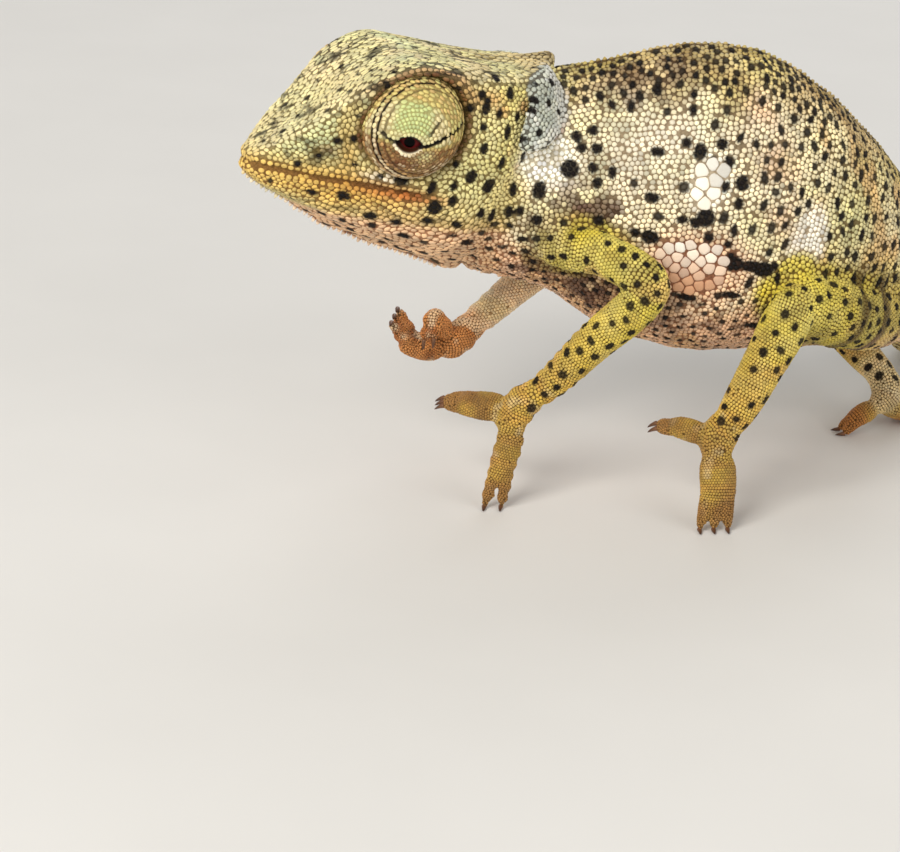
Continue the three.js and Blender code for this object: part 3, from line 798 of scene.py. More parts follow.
def projectToSkin(points, target):
    # the nearest places on the skin and the skin's normals there, from two shrinkwraps a lift apart
    lift = 0.0004
    found = []
    for offset in (0.0, lift):
        cloud = addObject("cloud", makeMesh("cloud", toFrame(points), [np.array([[0, 1, 2]])]))
        wrap = cloud.modifiers.new("wrap", "SHRINKWRAP")
        wrap.target = target
        wrap.wrap_method = "NEAREST_SURFACEPOINT"
        wrap.wrap_mode = "ABOVE_SURFACE"
        wrap.offset = offset
        mesh = evaluated(cloud)
        found.append(getPoints(mesh))
        bpy.data.objects.remove(cloud)
        bpy.data.meshes.remove(mesh)
    return toMillimetres(found[0]), unit(found[1] - found[0])


# Larger scales: the middle and half size of each group in spine station and angle, spacing and height.
bigGroups = {
    "white": {"at": (3.66, 1.27), "size": (0.15, 0.15), "pitch": 1.12, "height": 0.1},
    "tubercle": {"at": (3.66, 1.82), "size": (0.37, 0.17), "pitch": 0.94, "height": 0.15},
}
# areas of plain skin colour, in the same terms
knobArea = {"at": (3.72, 1.86), "size": (0.46, 0.19)}
streakArea = {"at": (4.86, 1.6), "size": (0.2, 0.3)}


def groupReach(group, station, angle):
    (at, roll), (long, tall) = group["at"], group["size"]
    return np.hypot((station - at) / long, (np.abs(angle) - roll) / tall)


def ridgeRise(back):
    return np.interp(back, headLines[:, 1, 0], headLines[:, 1, 2])


def headGrain(roots):
    # On the head scales are drawn out lengthwise, most of all on top. Their way bends round behind the
    # corner of the mouth and round the eye, and wanders a little elsewhere.
    places = toHead(roots["points"])
    back, rise = places[:, 0], places[:, 2]
    top = step(-1.0, 0.4, rise - ridgeRise(back))
    roots["stretch"] = (1.25 + 0.75 * top + 0.3 * step(-2.4, -3.2, rise)
                        + 0.25 * step(4, 8, back) * step(2, 0, rise))
    roots["want"] = 0.385 + 0.02 * top - 0.05 * step(5, 1, back)
    wander = (clouds(roots["points"], 1.7, 81) - 0.5) * 1.5
    flow = np.stack([np.ones(len(back)), wander], 1)
    for middle, radius, width in (((16.6, 0.2), 3.4, 1.9), ((13.0, 6.2), 5.9, 0.9)):
        away = np.stack([back - middle[0], rise - middle[1]], 1)
        length = np.linalg.norm(away, axis=1)
        circling = np.stack([-away[:, 1], away[:, 0]], 1) / np.maximum(length, 0.1)[:, None]
        circling *= np.where((circling * flow).sum(1) < 0, -1, 1)[:, None]
        weight = coatSettings["bend"] * bell(length, radius, width)
        if radius < 5:
            weight = weight * step(middle[0] - 0.4, middle[0] + 0.6, back)
        flow = flow + circling * weight[:, None]
    roots["way"] = unit(flow[:, :1] * headBack + flow[:, 1:] * headUp)


def eyeReach(points):
    places = toHead(points)
    reach = np.hypot(places[:, 0] - eyeSettings["centre"][0], places[:, 2] - eyeSettings["centre"][2])
    return np.where(np.abs(places[:, 1]) > 2.5, reach, 99.0)


def placeScales():
    sets = []
    for name, surface, _, _, pitch, priority in bodyParts():
        first, last = coatSettings["headSpan"] if name == "head" else (0, 1)
        sets.append(candidates(name, surface, pitch, first, last, priority))
    roots = joinRoots(sets)
    onSkin, roots["normal"] = projectToSkin(roots["points"], skin)
    strayed = np.linalg.norm(onSkin - roots["points"], axis=1)
    roots["points"] = onSkin
    roots["stretch"] = np.ones(len(onSkin))
    isHeadOrFlap = (roots["part"] == "head") | np.char.startswith(roots["part"], "flap")
    roots = pick(roots, strayed < np.where(isHeadOrFlap, *coatSettings["strayed"]))
    isHead = roots["part"] == "head"
    head = pick(roots, isHead)
    headGrain(head)
    for key in ("stretch", "want", "way"):
        roots[key][isHead] = head[key]
    flatWays(roots)
    roots = pick(roots, eyeReach(roots["points"]) > eyeSettings["socket"] + 0.08)
    # the rows are broken up a little before they are evened out
    loose = np.where(roots["part"] == "spine", *coatSettings["loose"]) * roots["want"]
    roots["points"] = roots["points"] + rng.normal(size=roots["points"].shape) * loose[:, None]
    along, angle, _ = placeOnPath(spine, roots["points"], spineSamples)
    roots["station"], roots["roll"] = along * spineCount, angle
    roots["group"] = np.zeros(len(angle), int)
    for number, group in enumerate(bigGroups.values(), 1):
        inside = (groupReach(group, roots["station"], roots["roll"]) < 1) & (roots["part"] == "spine")
        roots["group"][inside] = number
        roots["want"][inside] = group["pitch"]
    share, reach = coatSettings["thin"], coatSettings["reach"]
    small = thinOut(pick(roots, roots["group"] == 0), share, reach)
    evenOut(small, 5, reach)
    thinReach, evenReach = coatSettings["bigReach"]
    big = thinOut(pick(roots, roots["group"] > 0), share, thinReach, 60)
    evenOut(big, 4, evenReach)
    _, gaps = near(small["points"], big["points"], 1.0, 1)
    room, bigPitch = coatSettings["bigRoom"]
    small = pick(small, gaps[:, 0] > room * (small["want"] + np.where(gaps[:, 0] < np.inf, bigPitch, 0)))
    roots = joinRoots([small, big])
    roots["points"], roots["normal"] = projectToSkin(roots["points"], skin)
    flatWays(roots)
    return roots


def rowLines():
    # Single rows of larger scales: the line each follows, its pitch, half length, half width and height.
    lines = {}
    throatTurn = np.linspace(0.06, 0.7, 300)
    throat = headSurface(throatTurn, np.full(300, math.pi - 1e-3))
    lines["crest_throat"] = (throat, 0.58, 0.28, 0.22, 0.4, "cone")
    for name, first, last, angle, high in (("crest_chest", 0.6, 2.3, math.pi - 1e-3, 0.36),
                                           ("crest_back", 1.0, 8.6, 1e-3, 0.26)):
        turn = np.arccos(1 - 2 * np.linspace(first, last, 500) / spineCount) / math.pi
        line = roundLoft(spine, -coatDepth)(turn, np.full(500, angle))
        lines[name] = (line, 0.62, 0.31, 0.24, high, "cone")
    lipBack = np.linspace(0.8, 16.4, 300)
    lipOut = np.interp(lipBack, headLines[:, 3, 0], headLines[:, 3, 1])
    for side, word in bothSides:
        brow = fromHead(spline(headLines[:, 1], np.linspace(0.12, 0.9, 400)) * (1, side, 1))
        lines["brow_" + word] = (brow, 0.6, 0.3, 0.21, 0.09, "plate")
        for label, shift in (("upper_lip_", 0.4), ("lower_lip_", -0.42)):
            line = fromHead(np.stack([lipBack, side * lipOut, mouthRise(lipBack) + shift], 1))
            lines[label + word] = (line, 0.62, 0.3, 0.25, 0.14, "plate")
    return lines


def cullScales(roots):
    # none in the sockets, on the mouth line, in the nostrils, under a row of larger scales, or flat
    # against the ground
    onLines = np.concatenate([row[0] for row in rowLines().values()])
    _, gaps = near(roots["points"], onLines, 0.6, 1)
    places = toHead(roots["points"])
    isHead = roots["part"] == "head"
    mouthGap = np.abs(places[:, 2] - mouthRise(places[:, 0]))
    inMouth = (mouthGap < keepOff["mouth"]) & (places[:, 0] < headDetails["mouthEnd"] - 0.5) & isHead
    mirrored = places * (1, np.sign(headDetails["nostril"][1]), 1)
    mirrored[:, 1] = np.abs(mirrored[:, 1])
    pit = np.linalg.norm(mirrored - headDetails["nostril"], axis=1)
    inNostril = (pit < keepOff["nostril"]) & isHead
    grounded = (roots["points"][:, 2] < keepOff["ground"]) & (roots["normal"][:, 2] < -0.3)
    inSocket = eyeReach(roots["points"]) < eyeSettings["socket"] - keepOff["socket"]
    return pick(roots, ~(inSocket | inMouth | inNostril | grounded | (gaps[:, 0] < keepOff["row"])))


skin = addObject("skin", skinMesh)
print("placing scales", flush=True)


# colours of skin and coat

def colour(red, green, blue):
    # the linear value of a colour given in the usual 0 to 255
    shares = np.array([red, green, blue]) / 255
    return np.where(shares <= 0.04045, shares / 12.92, ((shares + 0.055) / 1.055) ** 2.4)


palette = {
    "cream": (240, 228, 196), "white": (255, 250, 238), "paleGreen": (220, 216, 160),
    "crownWhite": (230, 215, 170), "yellowGreen": (204, 192, 112), "lime": (200, 212, 148),
    "khaki": (214, 198, 138), "limeOlive": (208, 190, 66), "olive": (156, 138, 72),
    "ochre": (200, 156, 76), "tan": (212, 170, 116), "gold": (228, 188, 94),
    "orange": (206, 130, 66), "rust": (136, 68, 32), "pink": (230, 190, 156),
    "purple": (96, 64, 54), "flap": (186, 192, 182), "flapBead": (216, 216, 212),
    "footBrown": (152, 112, 64), "palm": (200, 138, 82), "palmDark": (132, 70, 36),
    "backCream": (216, 192, 142), "backBrown": (150, 120, 72), "lidKhaki": (212, 196, 124),
    "lidBrown": (136, 96, 58), "tubercle": (200, 154, 122), "mint": (214, 228, 180),
    # the gap colours: the skin between scales, partly its own darker colour and partly painted shade
    "black": (8, 5, 5), "brownDark": (66, 40, 24), "gapWarm": (124, 100, 66),
    "gapGreen": (104, 82, 34), "gapPink": (172, 118, 84), "gapOrange": (138, 74, 42),
    "gapPale": (188, 168, 136), "gapHead": (140, 120, 66), "gapGrey": (104, 98, 86),
    "gapLimb": (92, 64, 20),
}
palette = {name: colour(*shade) for name, shade in palette.items()}


def steady(cells, seed):
    # a random number from 0 to 1 that is always the same for a cell of whole numbers
    mixed = np.sin(cells @ np.array([12.9898, 78.233, 37.719]) + seed * 4.1414) * 43758.5453
    return mixed - np.floor(mixed)


def clouds(points, size, seed):
    # soft noise from 0 to 1: random values at the corners of cubes of that size, blended inside them
    place = points / size
    corner = np.floor(place)
    w = place - corner
    w = w * w * (3 - 2 * w)
    total = np.zeros(len(points))
    for shift in itertools.product((0, 1), repeat=3):
        weight = np.prod(np.where(np.array(shift), w, 1 - w), axis=1)
        total += weight * steady(corner + shift, seed)
    return total


def blend(base, other, share):
    return base + (other - base) * np.clip(share, 0, 1)[:, None]


def plain(name, places):
    return np.tile(palette[name], (len(places), 1))


def layered(base, layers):
    # Lays colours over the base, one after another: each is a name in the palette, its share at each
    # place, and where it is darker than the palette's, a factor.
    for name, share, *factor in layers:
        base = blend(base, palette[name] * (factor[0] if factor else 1), share)
    return base


def trunkColours(points, station, turn, drift, fine):
    broad, patch = clouds(points, 5.0, 5), clouds(points, 2.4, 6)
    rear = step(4.1, 5.2, station + 1.2 * drift)
    upper = step(0.8, 0.42, turn + 0.5 * drift)
    light = bell(station, 2.9, 0.75) * bell(turn, 1.05, 0.32)
    hip = bell(station, 6.6, 0.9) * step(1.35, 1.9, turn)
    belly = step(1.95, 2.3, turn + 0.3 * drift) * step(9.5, 7, station)
    knobs = step(1.9, 0.9, groupReach(knobArea, station, turn))
    pale = step(1.9, 0.9, groupReach(bigGroups["white"], station, turn))
    streak = step(1.3, 0.8, groupReach(streakArea, station, turn))
    band = bell(station - 0.55 * (turn - 1.2), 4.35, 0.2) * step(1.75, 1.3, turn) * step(0.35, 0.7, turn)
    tail = step(8.0, 9.6, station)
    ring = 0.5 + 0.5 * np.sin(station * 2 * math.pi / 0.85 + 2 * drift)
    tint = layered(plain("cream", points), [
        ("paleGreen", step(0.5, 0.8, patch) * 0.5),
        ("khaki", rear * (0.55 + 0.9 * (broad - 0.5))),
        ("tan", rear * step(0.55, 0.8, clouds(points * (1, 1, 0.35), 1.7, 7)) * 0.7),
        ("backCream", upper * 0.8),
        ("yellowGreen", upper * step(0.4, 0.75, broad) * 0.7),
        ("backBrown", upper * step(0.5, 0.25, patch) * 0.6),
        ("olive", step(0.42, 0.1, turn + 0.3 * drift) * 0.5),
        ("backBrown", upper * step(4.2, 5.2, station) * 0.25),
        ("paleGreen", bell(station, 5.3, 0.35) * bell(turn, 1.3, 0.25) * 0.8),
        ("white", light * 0.55),
        ("limeOlive", hip * 0.8),
        ("pink", belly),
        ("tan", belly * step(0.5, 0.75, patch) * 0.6),
        # pink ground of the tubercles, white scales before and behind
        ("pink", knobs * 0.8),
        ("white", pale),
        ("white", streak),
        ("pink", band * step(0.3, 0.6, patch) * 0.7),
    ])
    gap = layered(plain("gapWarm", points), [
        ("gapGreen", rear), ("brownDark", upper * 0.6), ("gapPale", light * 0.6), ("gapPink", belly),
        ("gapOrange", knobs), ("gapPale", pale), ("gapPale", streak),
    ])
    # darker purple-brown areas
    for at, roll, long, tall, share in ((1.74, 1.6, 0.4, 0.15, 0.7), (2.3, 1.68, 0.46, 0.17, 0.85),
                                        (2.6, 0.42, 0.5, 0.2, 0.5), (1.9, 2.25, 0.9, 0.3, 0.75),
                                        (3.2, 2.25, 0.8, 0.15, 0.5), (4.95, 2.05, 0.3, 0.2, 0.6)):
        reach = np.hypot((station - at) / long, (turn - roll) / tall)
        tint = blend(tint, palette["purple"], step(1.3, 0.6, reach + 2.2 * fine) * share)
        gap = blend(gap, palette["brownDark"], step(1.25, 0.75, reach + 1.6 * fine) * share)
    # tail, in soft rings
    tint = layered(tint, [
        ("khaki", tail),
        ("ochre", tail * step(0.45, 0.8, ring) * 0.7),
        ("brownDark", tail * step(0.75, 1.0, ring) * step(2.2, 1.2, turn) * 0.3),
    ])
    return tint, blend(gap, palette["gapGreen"], tail)


def headColours(points, places):
    back, out, rise = places[:, 0], np.abs(places[:, 1]), places[:, 2]
    patch = clouds(points, 1.9, 8)
    over = rise - ridgeRise(back)
    top = step(-0.9, 0.2, over)
    temple = step(13, 17, back) * step(2.0, 4.0, rise)
    tip = top * step(23.5, 26, back)
    brow = bell(np.hypot(back - 13.0, rise - 6.2), 5.7, 0.7) * (out > 3)
    eyeBack, _, eyeRise = eyeSettings["centre"]
    fold = bell(np.hypot(back - eyeBack, rise - eyeRise), 5.05, 0.3) * (out > 3) * step(1, 4.5, rise)
    line = rise - mouthRise(back)
    throat = step(-2.3, -3.3, rise)
    face = layered(plain("khaki", points), [
        # side of the snout, brown toward the eye
        ("ochre", step(4, 9, back) * step(14, 10, back) * step(0.3, 0.7, patch) * 0.55),
        ("paleGreen", step(6, 2, back) * 0.7),
        ("mint", step(12, 9, back) * step(1.5, 3.5, rise) * step(0.4, 0.75, clouds(points, 2.5, 10)) * 0.6),
        # temple
        ("paleGreen", temple * 0.55),
        ("yellowGreen", temple * step(0.45, 0.8, clouds(points, 2.2, 9)) * 0.6),
    ])
    face = face * (1 + 0.2 * step(13, 17, back) * step(-2, 0, rise) * (1 - top))[:, None]
    face = layered(face, [
        ("orange", bell(back, 19.5, 2.0) * bell(rise, 9.6, 0.9) * 0.55),
        ("orange", temple * step(0.62, 0.85, patch) * 0.55),
        ("paleGreen", bell(back, 19, 4.0) * bell(rise, 1.5, 3.0) * 0.9),
        # crown
        ("paleGreen", top),
        ("crownWhite", top * step(0.35, 0.7, patch)),
        ("mint", top * step(18, 14, back) * step(0.45, 0.75, clouds(points, 2.3, 11)) * 0.65),
        ("tan", top * step(0.6, 0.85, clouds(points, 2.8, 12)) * 0.3),
        ("olive", top * step(17, 22, back) * step(0.4, 0.8, patch) * 0.6),
        ("crownWhite", bell(over, -0.1, 0.5) * 0.6),
        ("backCream", tip * 0.6),
        # brow over the eye
        ("orange", brow * step(8, 10.5, rise) * (over < 0.1) * 0.5),
        # a dark rust ring in the fold round the socket: painted shade where the lids meet the head
        ("rust", fold * 0.9, 0.5),
    ])
    face = face * (1 - 0.12 * top * step(13, 18, back))[:, None]
    face = layered(face, [
        # lips and jaw
        ("gold", bell(line, 0.1, 1.0) * step(13, 6, back) * 0.8),
        ("gold", bell(line, -1.2, 1.1) * step(19, 10, back) * 0.75),
        ("ochre", bell(line, -0.2, 0.8) * bell(back, 10, 6) * 0.75, 0.8),
        ("orange", bell(line, -0.35, 0.6) * bell(back, 13.4, 4.2) * 0.95),
        ("rust", bell(line, -0.25, 0.35) * bell(back, 15.0, 2.2) * 0.7),
        ("tan", bell(rise, -2.4, 0.9) * step(8, 12, back) * 0.5),
        ("white", bell(back, 11.3, 1.8) * bell(rise, 1.3, 0.45) * (out > 3) * 0.75),
        ("pink", throat * 0.85),
        # a brown smear above each nostril
        ("rust", bell(back, 5.8, 1.0) * bell(rise, 3.0, 0.35) * (out > 2.5) * 0.7),
    ])
    return face, layered(plain("gapHead", points), [
        ("khaki", top * 0.8, 0.45),
        ("backBrown", tip * 0.8, 0.6),
        ("brownDark", brow * step(4, 9, rise) * 0.7),
        ("rust", step(1.2, 0, line) * step(-3, -1.5, line) * step(18, 14, back) * 0.6),
        ("gapPink", throat),
    ])


def skinColours(points):
    # colour of the top of a scale and of the skin round it, the latter partly painted shade, at any place on
    # the body
    places = toHead(points)
    back, rise = places[:, 0], places[:, 2]
    along, angle, _ = placeOnPath(spine, points, spineSamples)
    station, turn = along * spineCount, np.abs(angle)
    drift = clouds(points, 3.0, 1) - 0.5
    fine = clouds(points, 1.0, 2) - 0.5
    tint, gap = trunkColours(points, station, turn, drift, fine)
    face, faceGap = headColours(points, places)
    ends = 26.0 + 3.6 * step(7, 10.5, rise) - 0.6 * step(2, -4, rise)
    headShare = step(ends + 1.3, ends - 1.3, back)
    whiteSkin = np.clip(2.4 * bell(back, 27.2, 2.0) * bell(rise, 4.7, 2.0), 0, 1)
    flapShare, hem = flapMask(points)
    flap = blend(plain("flap", points), palette["flapBead"],
                 step(26.4, 28, back) * 0.8 + 0.6 * step(0.5, 0.8, fine + 0.5))
    tint = blend(blend(tint, face, headShare), palette["white"], whiteSkin * 1.3)
    # the lower edge of each flap takes a brown line, partly its own rust colour and partly painted shade
    # under the edge
    tint = blend(blend(tint, flap, flapShare), palette["rust"], hem * step(9.5, 7.5, rise) * 0.6)
    gap = layered(blend(gap, faceGap, headShare), [("cream", whiteSkin, 0.75), ("gapGrey", flapShare)])
    onLimbs = np.zeros(len(points))
    for name, limb in limbs.items():
        share, run = limbMask(limb, points)
        onLimbs = np.maximum(onLimbs, share)
        if share.any():
            leg, legGap = limbColours(name, points, run)
            tint, gap = blend(tint, leg, share), blend(gap, legGap, share)
            # painted shade: a broken dark brown line where the upper limb meets the body stands in for the
            # shade in that crease
            edge = bell(share, 0.4, 0.2) * (run < 1) * step(0.4, 0.7, fine + 0.5)
            tint = blend(tint, palette["brownDark"], edge * 0.6)
    # painted shade of fine folds: darker lines where a noise drawn out up and down the body passes its middle
    # value
    fold = np.abs(clouds(points * (1.0, 1.0, 0.45), 1.25, 73) - 0.5)
    onTrunk = (1 - headShare) * (1 - flapShare) * (1 - onLimbs)
    vary = (1.06 + 0.42 * drift + 0.3 * fine) * (1 - 0.26 * step(0.075, 0.02, fold) * onTrunk)
    return np.clip(tint * vary[:, None], 0, 1), gap


def limbColours(name, points, run):
    patch = clouds(points, 1.8, 14)
    leg = layered(plain("limeOlive", points), [
        ("yellowGreen", patch),
        ("tan", step(0.6, 0.85, clouds(points, 2.6, 15)) * 0.5),
        ("olive", step(0.5, 0.8, clouds(points, 1.3, 16)) * 0.55),
        ("ochre", step(1.1, 1.8, run) * 0.55),
        ("cream", step(0.6, 0.9, clouds(points, 1.1, 18)) * step(1.6, 2.0, run) * 0.4),
    ])
    gap = layered(plain("gapLimb", points), [("footBrown", step(1.6, 2.1, run) * 0.6, 0.4)])
    if name.startswith("hind"):
        arcs = step(0.2, 0.8, np.sin(run * 42)) * step(0.62, 0.42, run)
        leg = layered(leg, [("olive", step(1.0, 0.4, run) * 0.55), ("brownDark", arcs * 0.9)])
    if name == "fore_right":
        # the raised arm is pale on its inner side, and brown and orange under the palm
        middle = np.interp(run, [0, 0.33, 0.66, 1, 1.33, 1.66, 2, 2.4, 3],
                           [4, 6, 8.4, 9.8, 8.2, 5.2, 2.8, 1.4, 0.2])
        inner = step(2.0, 1.0, points[:, 1] - middle)
        palm = step(1.85, 2.1, run)
        leg = layered(leg, [
            ("pink", inner * 0.9),
            ("cream", inner * 0.45),
            ("khaki", inner * step(0.4, 0.7, patch) * 0.4),
            ("cream", inner * step(0.55, 0.8, clouds(points, 1.3, 20)) * 0.6),
            ("palm", palm),
            ("palmDark", palm * step(0.5, 0.8, patch) * 0.65),
            ("cream", palm * step(0.6, 0.85, clouds(points, 1.2, 19)) * 0.5),
        ])
        return leg, layered(gap, [("tan", inner * 0.8, 0.8), ("footBrown", palm, 0.5)])
    rings = 0.5 + 0.5 * np.sin(run * 34)
    leg = layered(leg, [
        ("ochre", step(1.5, 1.9, run) * step(0.5, 0.9, rings) * 0.5),
        ("footBrown", step(2.35, 2.8, run + 0.8 * (patch - 0.5)) * 0.9),
        ("footBrown", step(1.8, 2.3, run) * 0.35),
    ])
    leg = leg * (1 - 0.05 * step(1.7, 2.3, run))[:, None]
    if name == "hind_right":
        leg = layered(leg, [("cream", step(1.6, 2.0, run) * step(2.5, 2.2, run) * 0.5),
                            ("orange", step(2.4, 2.7, run) * 0.5)])
    return leg, gap


def flapMask(points):
    places = toHead(points)
    places[:, 1] = np.abs(places[:, 1])
    local = makePath([(back, out, rise, lobeThickness / 2, lobeThickness / 2, half)
                      for back, out, rise, half in lobeStations], (0.15, 1, 0))
    along, _, _ = placeOnPath(local, places, 60)
    centre, tangent, side, above, size = pathFrame(local, along)
    away = places - centre
    across = np.abs((away * side).sum(1)) / size[:, 2]
    lift = (away * above).sum(1)
    beyond = np.abs((away * tangent).sum(1))
    front = step(22.4, 23.6, places[:, 0] - 0.2 * (places[:, 2] - 8))
    share = step(1.1, 0.92, across) * step(0.75, 0.5, np.abs(lift)) * step(0.8, 0.3, beyond) * front
    # the flap's share, and its outer rim, which takes a brown line that is partly painted shade
    return share, share * step(0.86, 0.96, across)


def limbMask(limb, points):
    # how surely a point is on this limb, and how far down it: 0 to 1 on the upper length, 1 to 2 on
    # the lower one, up to 2.4 on the palm and from 2.3 to 3 along the toes
    share, run = np.zeros(len(points)), np.zeros(len(points))
    rows = np.array([row[:3] for row in limb["upper"] + limb["lower"] + limb["palm"]]
                    + [place for bundle in limb["bundles"] for place in bundle["route"]])
    close = np.all((points > rows.min(0) - 5) & (points < rows.max(0) + 5), axis=1)
    if not close.any():
        return share, run
    at = points[close]
    ratios, runs = [], []
    for path, samples, start, length in ((limb["upperPath"], 80, 0, 1), (limb["lowerPath"], 80, 1, 1),
                                         (limb["palmPath"], 30, 2, 0.4)):
        along, _, ratio = placeOnPath(path, at, samples)
        ratios.append(ratio)
        runs.append(start + length * along)
    for bundle in limb["bundles"]:
        line = spline(np.array(bundle["route"], float), np.linspace(0, 1, 30))
        gaps = np.linalg.norm(at[:, None] - line, axis=2)
        ratios.append(gaps.min(1) / 2.0)
        runs.append(2.3 + 0.7 * gaps.argmin(1) / 29)
    ratios, runs = np.stack(ratios), np.stack(runs)
    weight = 1 / np.maximum(ratios, 0.2) ** 8
    run[close] = (weight * runs).sum(0) / weight.sum(0)
    share[close] = step(1.6, 1.1, ratios.min(0)) * step(0.0, 0.42, run[close])
    return share, run


# black spots

# Spots of the head: how far back and up, and how long and tall.
headSpots = [
    (9.2, 10.0, 0.4, 0.4), (10.0, 10.7, 0.32, 0.3), (6.5, 3.8, 0.5, 0.36), (7.9, 4.3, 0.36, 0.36),
    (5.1, 2.5, 0.42, 0.3), (3.8, 1.4, 0.36, 0.3), (13.0, 0.9, 0.72, 0.6), (15.9, 1.0, 0.42, 0.75),
    (16.6, -0.9, 0.75, 0.66), (17.9, 1.5, 0.36, 0.5), (17.6, 3.5, 0.3, 0.34), (19.1, 2.6, 0.56, 0.66),
    (21.7, 1.8, 0.72, 0.78), (20.0, 5.2, 0.42, 0.56), (17.9, 8.8, 0.4, 0.5), (19.4, 9.0, 0.5, 0.8),
    (21.2, 8.5, 0.36, 0.5), (18.3, 10.1, 0.42, 0.5), (22.1, 7.1, 0.42, 0.7), (22.6, 4.1, 0.4, 0.66),
    (24.8, 1.5, 0.4, 0.7), (26.9, 1.8, 0.62, 0.85), (21.8, 10.4, 0.5, 0.62), (23.8, 10.3, 0.36, 0.7),
    (20.3, 11.4, 0.42, 0.5), (29.2, 4.1, 0.85, 0.85), (18.6, -0.1, 0.5, 0.56), (21.4, -1.1, 0.5, 0.5),
    (23.2, -1.1, 0.4, 0.75), (24.7, -1.0, 0.45, 0.62), (25.7, -0.5, 0.4, 0.56), (27.3, -1.1, 0.56, 0.5),
    (5.4, -1.0, 0.6, 0.28), (8.0, -1.1, 0.66, 0.46), (11.3, -2.6, 0.66, 0.4), (13.8, -2.6, 0.6, 0.34),
    (16.6, -2.4, 0.66, 0.32), (19.4, -2.5, 0.6, 0.32), (14.9, -3.9, 0.72, 0.3), (21.2, -3.7, 0.8, 0.34),
    (23.1, 8.2, 0.3, 0.54), (23.3, 6.4, 0.34, 0.56), (23.9, 9.0, 0.34, 0.5), (25.1, 7.3, 0.42, 0.4),
    (26.3, 9.6, 0.4, 0.44), (27.1, 11.2, 0.32, 0.5), (24.9, 11.3, 0.24, 0.28), (27.9, 9.0, 0.26, 0.36),
]
# Blotches of the flank: station, angle, and the half length along and across the body.
flankSpots = [
    (3.5, 1.05, 0.62, 0.8), (3.62, 1.14, 0.5, 0.62), (3.7, 1.49, 0.85, 0.9), (3.76, 1.6, 0.5, 0.6),
    (3.13, 1.71, 0.85, 0.66), (4.14, 1.76, 0.95, 0.75), (4.42, 1.79, 1.0, 0.75), (3.75, 2.03, 1.0, 0.4),
    (4.2, 2.0, 1.0, 0.4), (4.63, 2.25, 0.9, 0.4), (1.78, 1.12, 0.5, 0.5), (2.11, 1.12, 0.56, 0.5),
    (1.71, 0.96, 0.5, 0.5), (1.96, 0.92, 0.5, 0.5), (2.09, 1.28, 0.5, 0.46), (2.24, 1.39, 0.46, 0.5),
    (2.43, 1.32, 0.4, 0.6), (2.5, 0.72, 0.4, 0.6), (2.94, 1.08, 0.66, 0.46), (3.02, 1.45, 0.7, 0.5),
    (2.78, 0.54, 0.5, 0.6), (3.34, 1.0, 0.5, 0.5), (3.35, 0.75, 0.4, 0.62), (3.72, 1.0, 0.5, 0.56),
    (3.84, 1.1, 0.5, 0.6), (3.8, 1.28, 0.46, 0.5), (3.98, 1.24, 0.66, 0.76), (3.96, 1.4, 0.46, 0.62),
    (3.98, 1.64, 0.4, 0.4), (3.45, 1.54, 0.5, 0.4), (2.89, 1.68, 0.5, 0.4), (4.28, 1.78, 0.95, 0.55),
    (4.05, 1.7, 0.5, 0.4), (3.64, 1.55, 0.6, 0.5), (4.56, 1.74, 0.45, 0.4),
]


def spotFields(roots):
    # Wanted spacing of the scattered spots, and their half sizes along and across the body.
    places = toHead(roots["points"])
    station, turn = roots["station"], np.abs(roots["roll"])
    count = len(turn)
    space, long, tall = np.full(count, 2.2), np.full(count, 0.47), np.full(count, 0.5)

    def area(share, spacing, length, height):
        space[:] = space + (spacing - space) * share
        long[:] = long + (length - long) * share
        tall[:] = tall + (height - tall) * share
    area(step(1.15, 0.85, turn), 1.62, 0.37, 0.52)
    area(step(0.7, 0.48, turn), 1.06, 0.3, 0.46)
    area(bell(station, 2.9, 0.75) * bell(turn, 1.0, 0.35), 2.4, 0.4, 0.42)
    area(step(3.7, 4.1, station) * step(0.5, 0.8, turn), 1.6, 0.32, 0.56)
    area(step(4.5, 5.0, station) * step(0.4, 0.6, turn), 1.55, 0.3, 0.56)
    area(step(1.9, 2.1, turn) * step(9, 8, station), 1.2, 0.3, 0.24)
    area(step(8.4, 9.4, station), 1.5, 0.3, 0.34)
    area(step(11, 13, station), 1.1, 0.24, 0.24)
    area(step(1.6, 1.0, station) * step(1.5, 1.9, turn), 1.45, 0.5, 0.25)
    isHead = roots["part"] == "head"
    top = step(-0.6, 0.4, places[:, 2] - ridgeRise(places[:, 0])) * isHead
    area(top, 1.5, 0.34, 0.16)
    lower = step(-2.6, -3.2, places[:, 2]) * isHead
    area(lower, 1.5, 0.52, 0.26)
    side = isHead * (1 - top) * (1 - lower)
    area(side * step(13, 15, places[:, 0]), 2.4, 0.4, 0.46)
    area(side * step(15, 13, places[:, 0]), 2.6, 0.28, 0.2)
    area(1.0 * np.isin(roots["part"], list(limbs)), 1.6, 0.4, 0.4)
    return space, long, tall


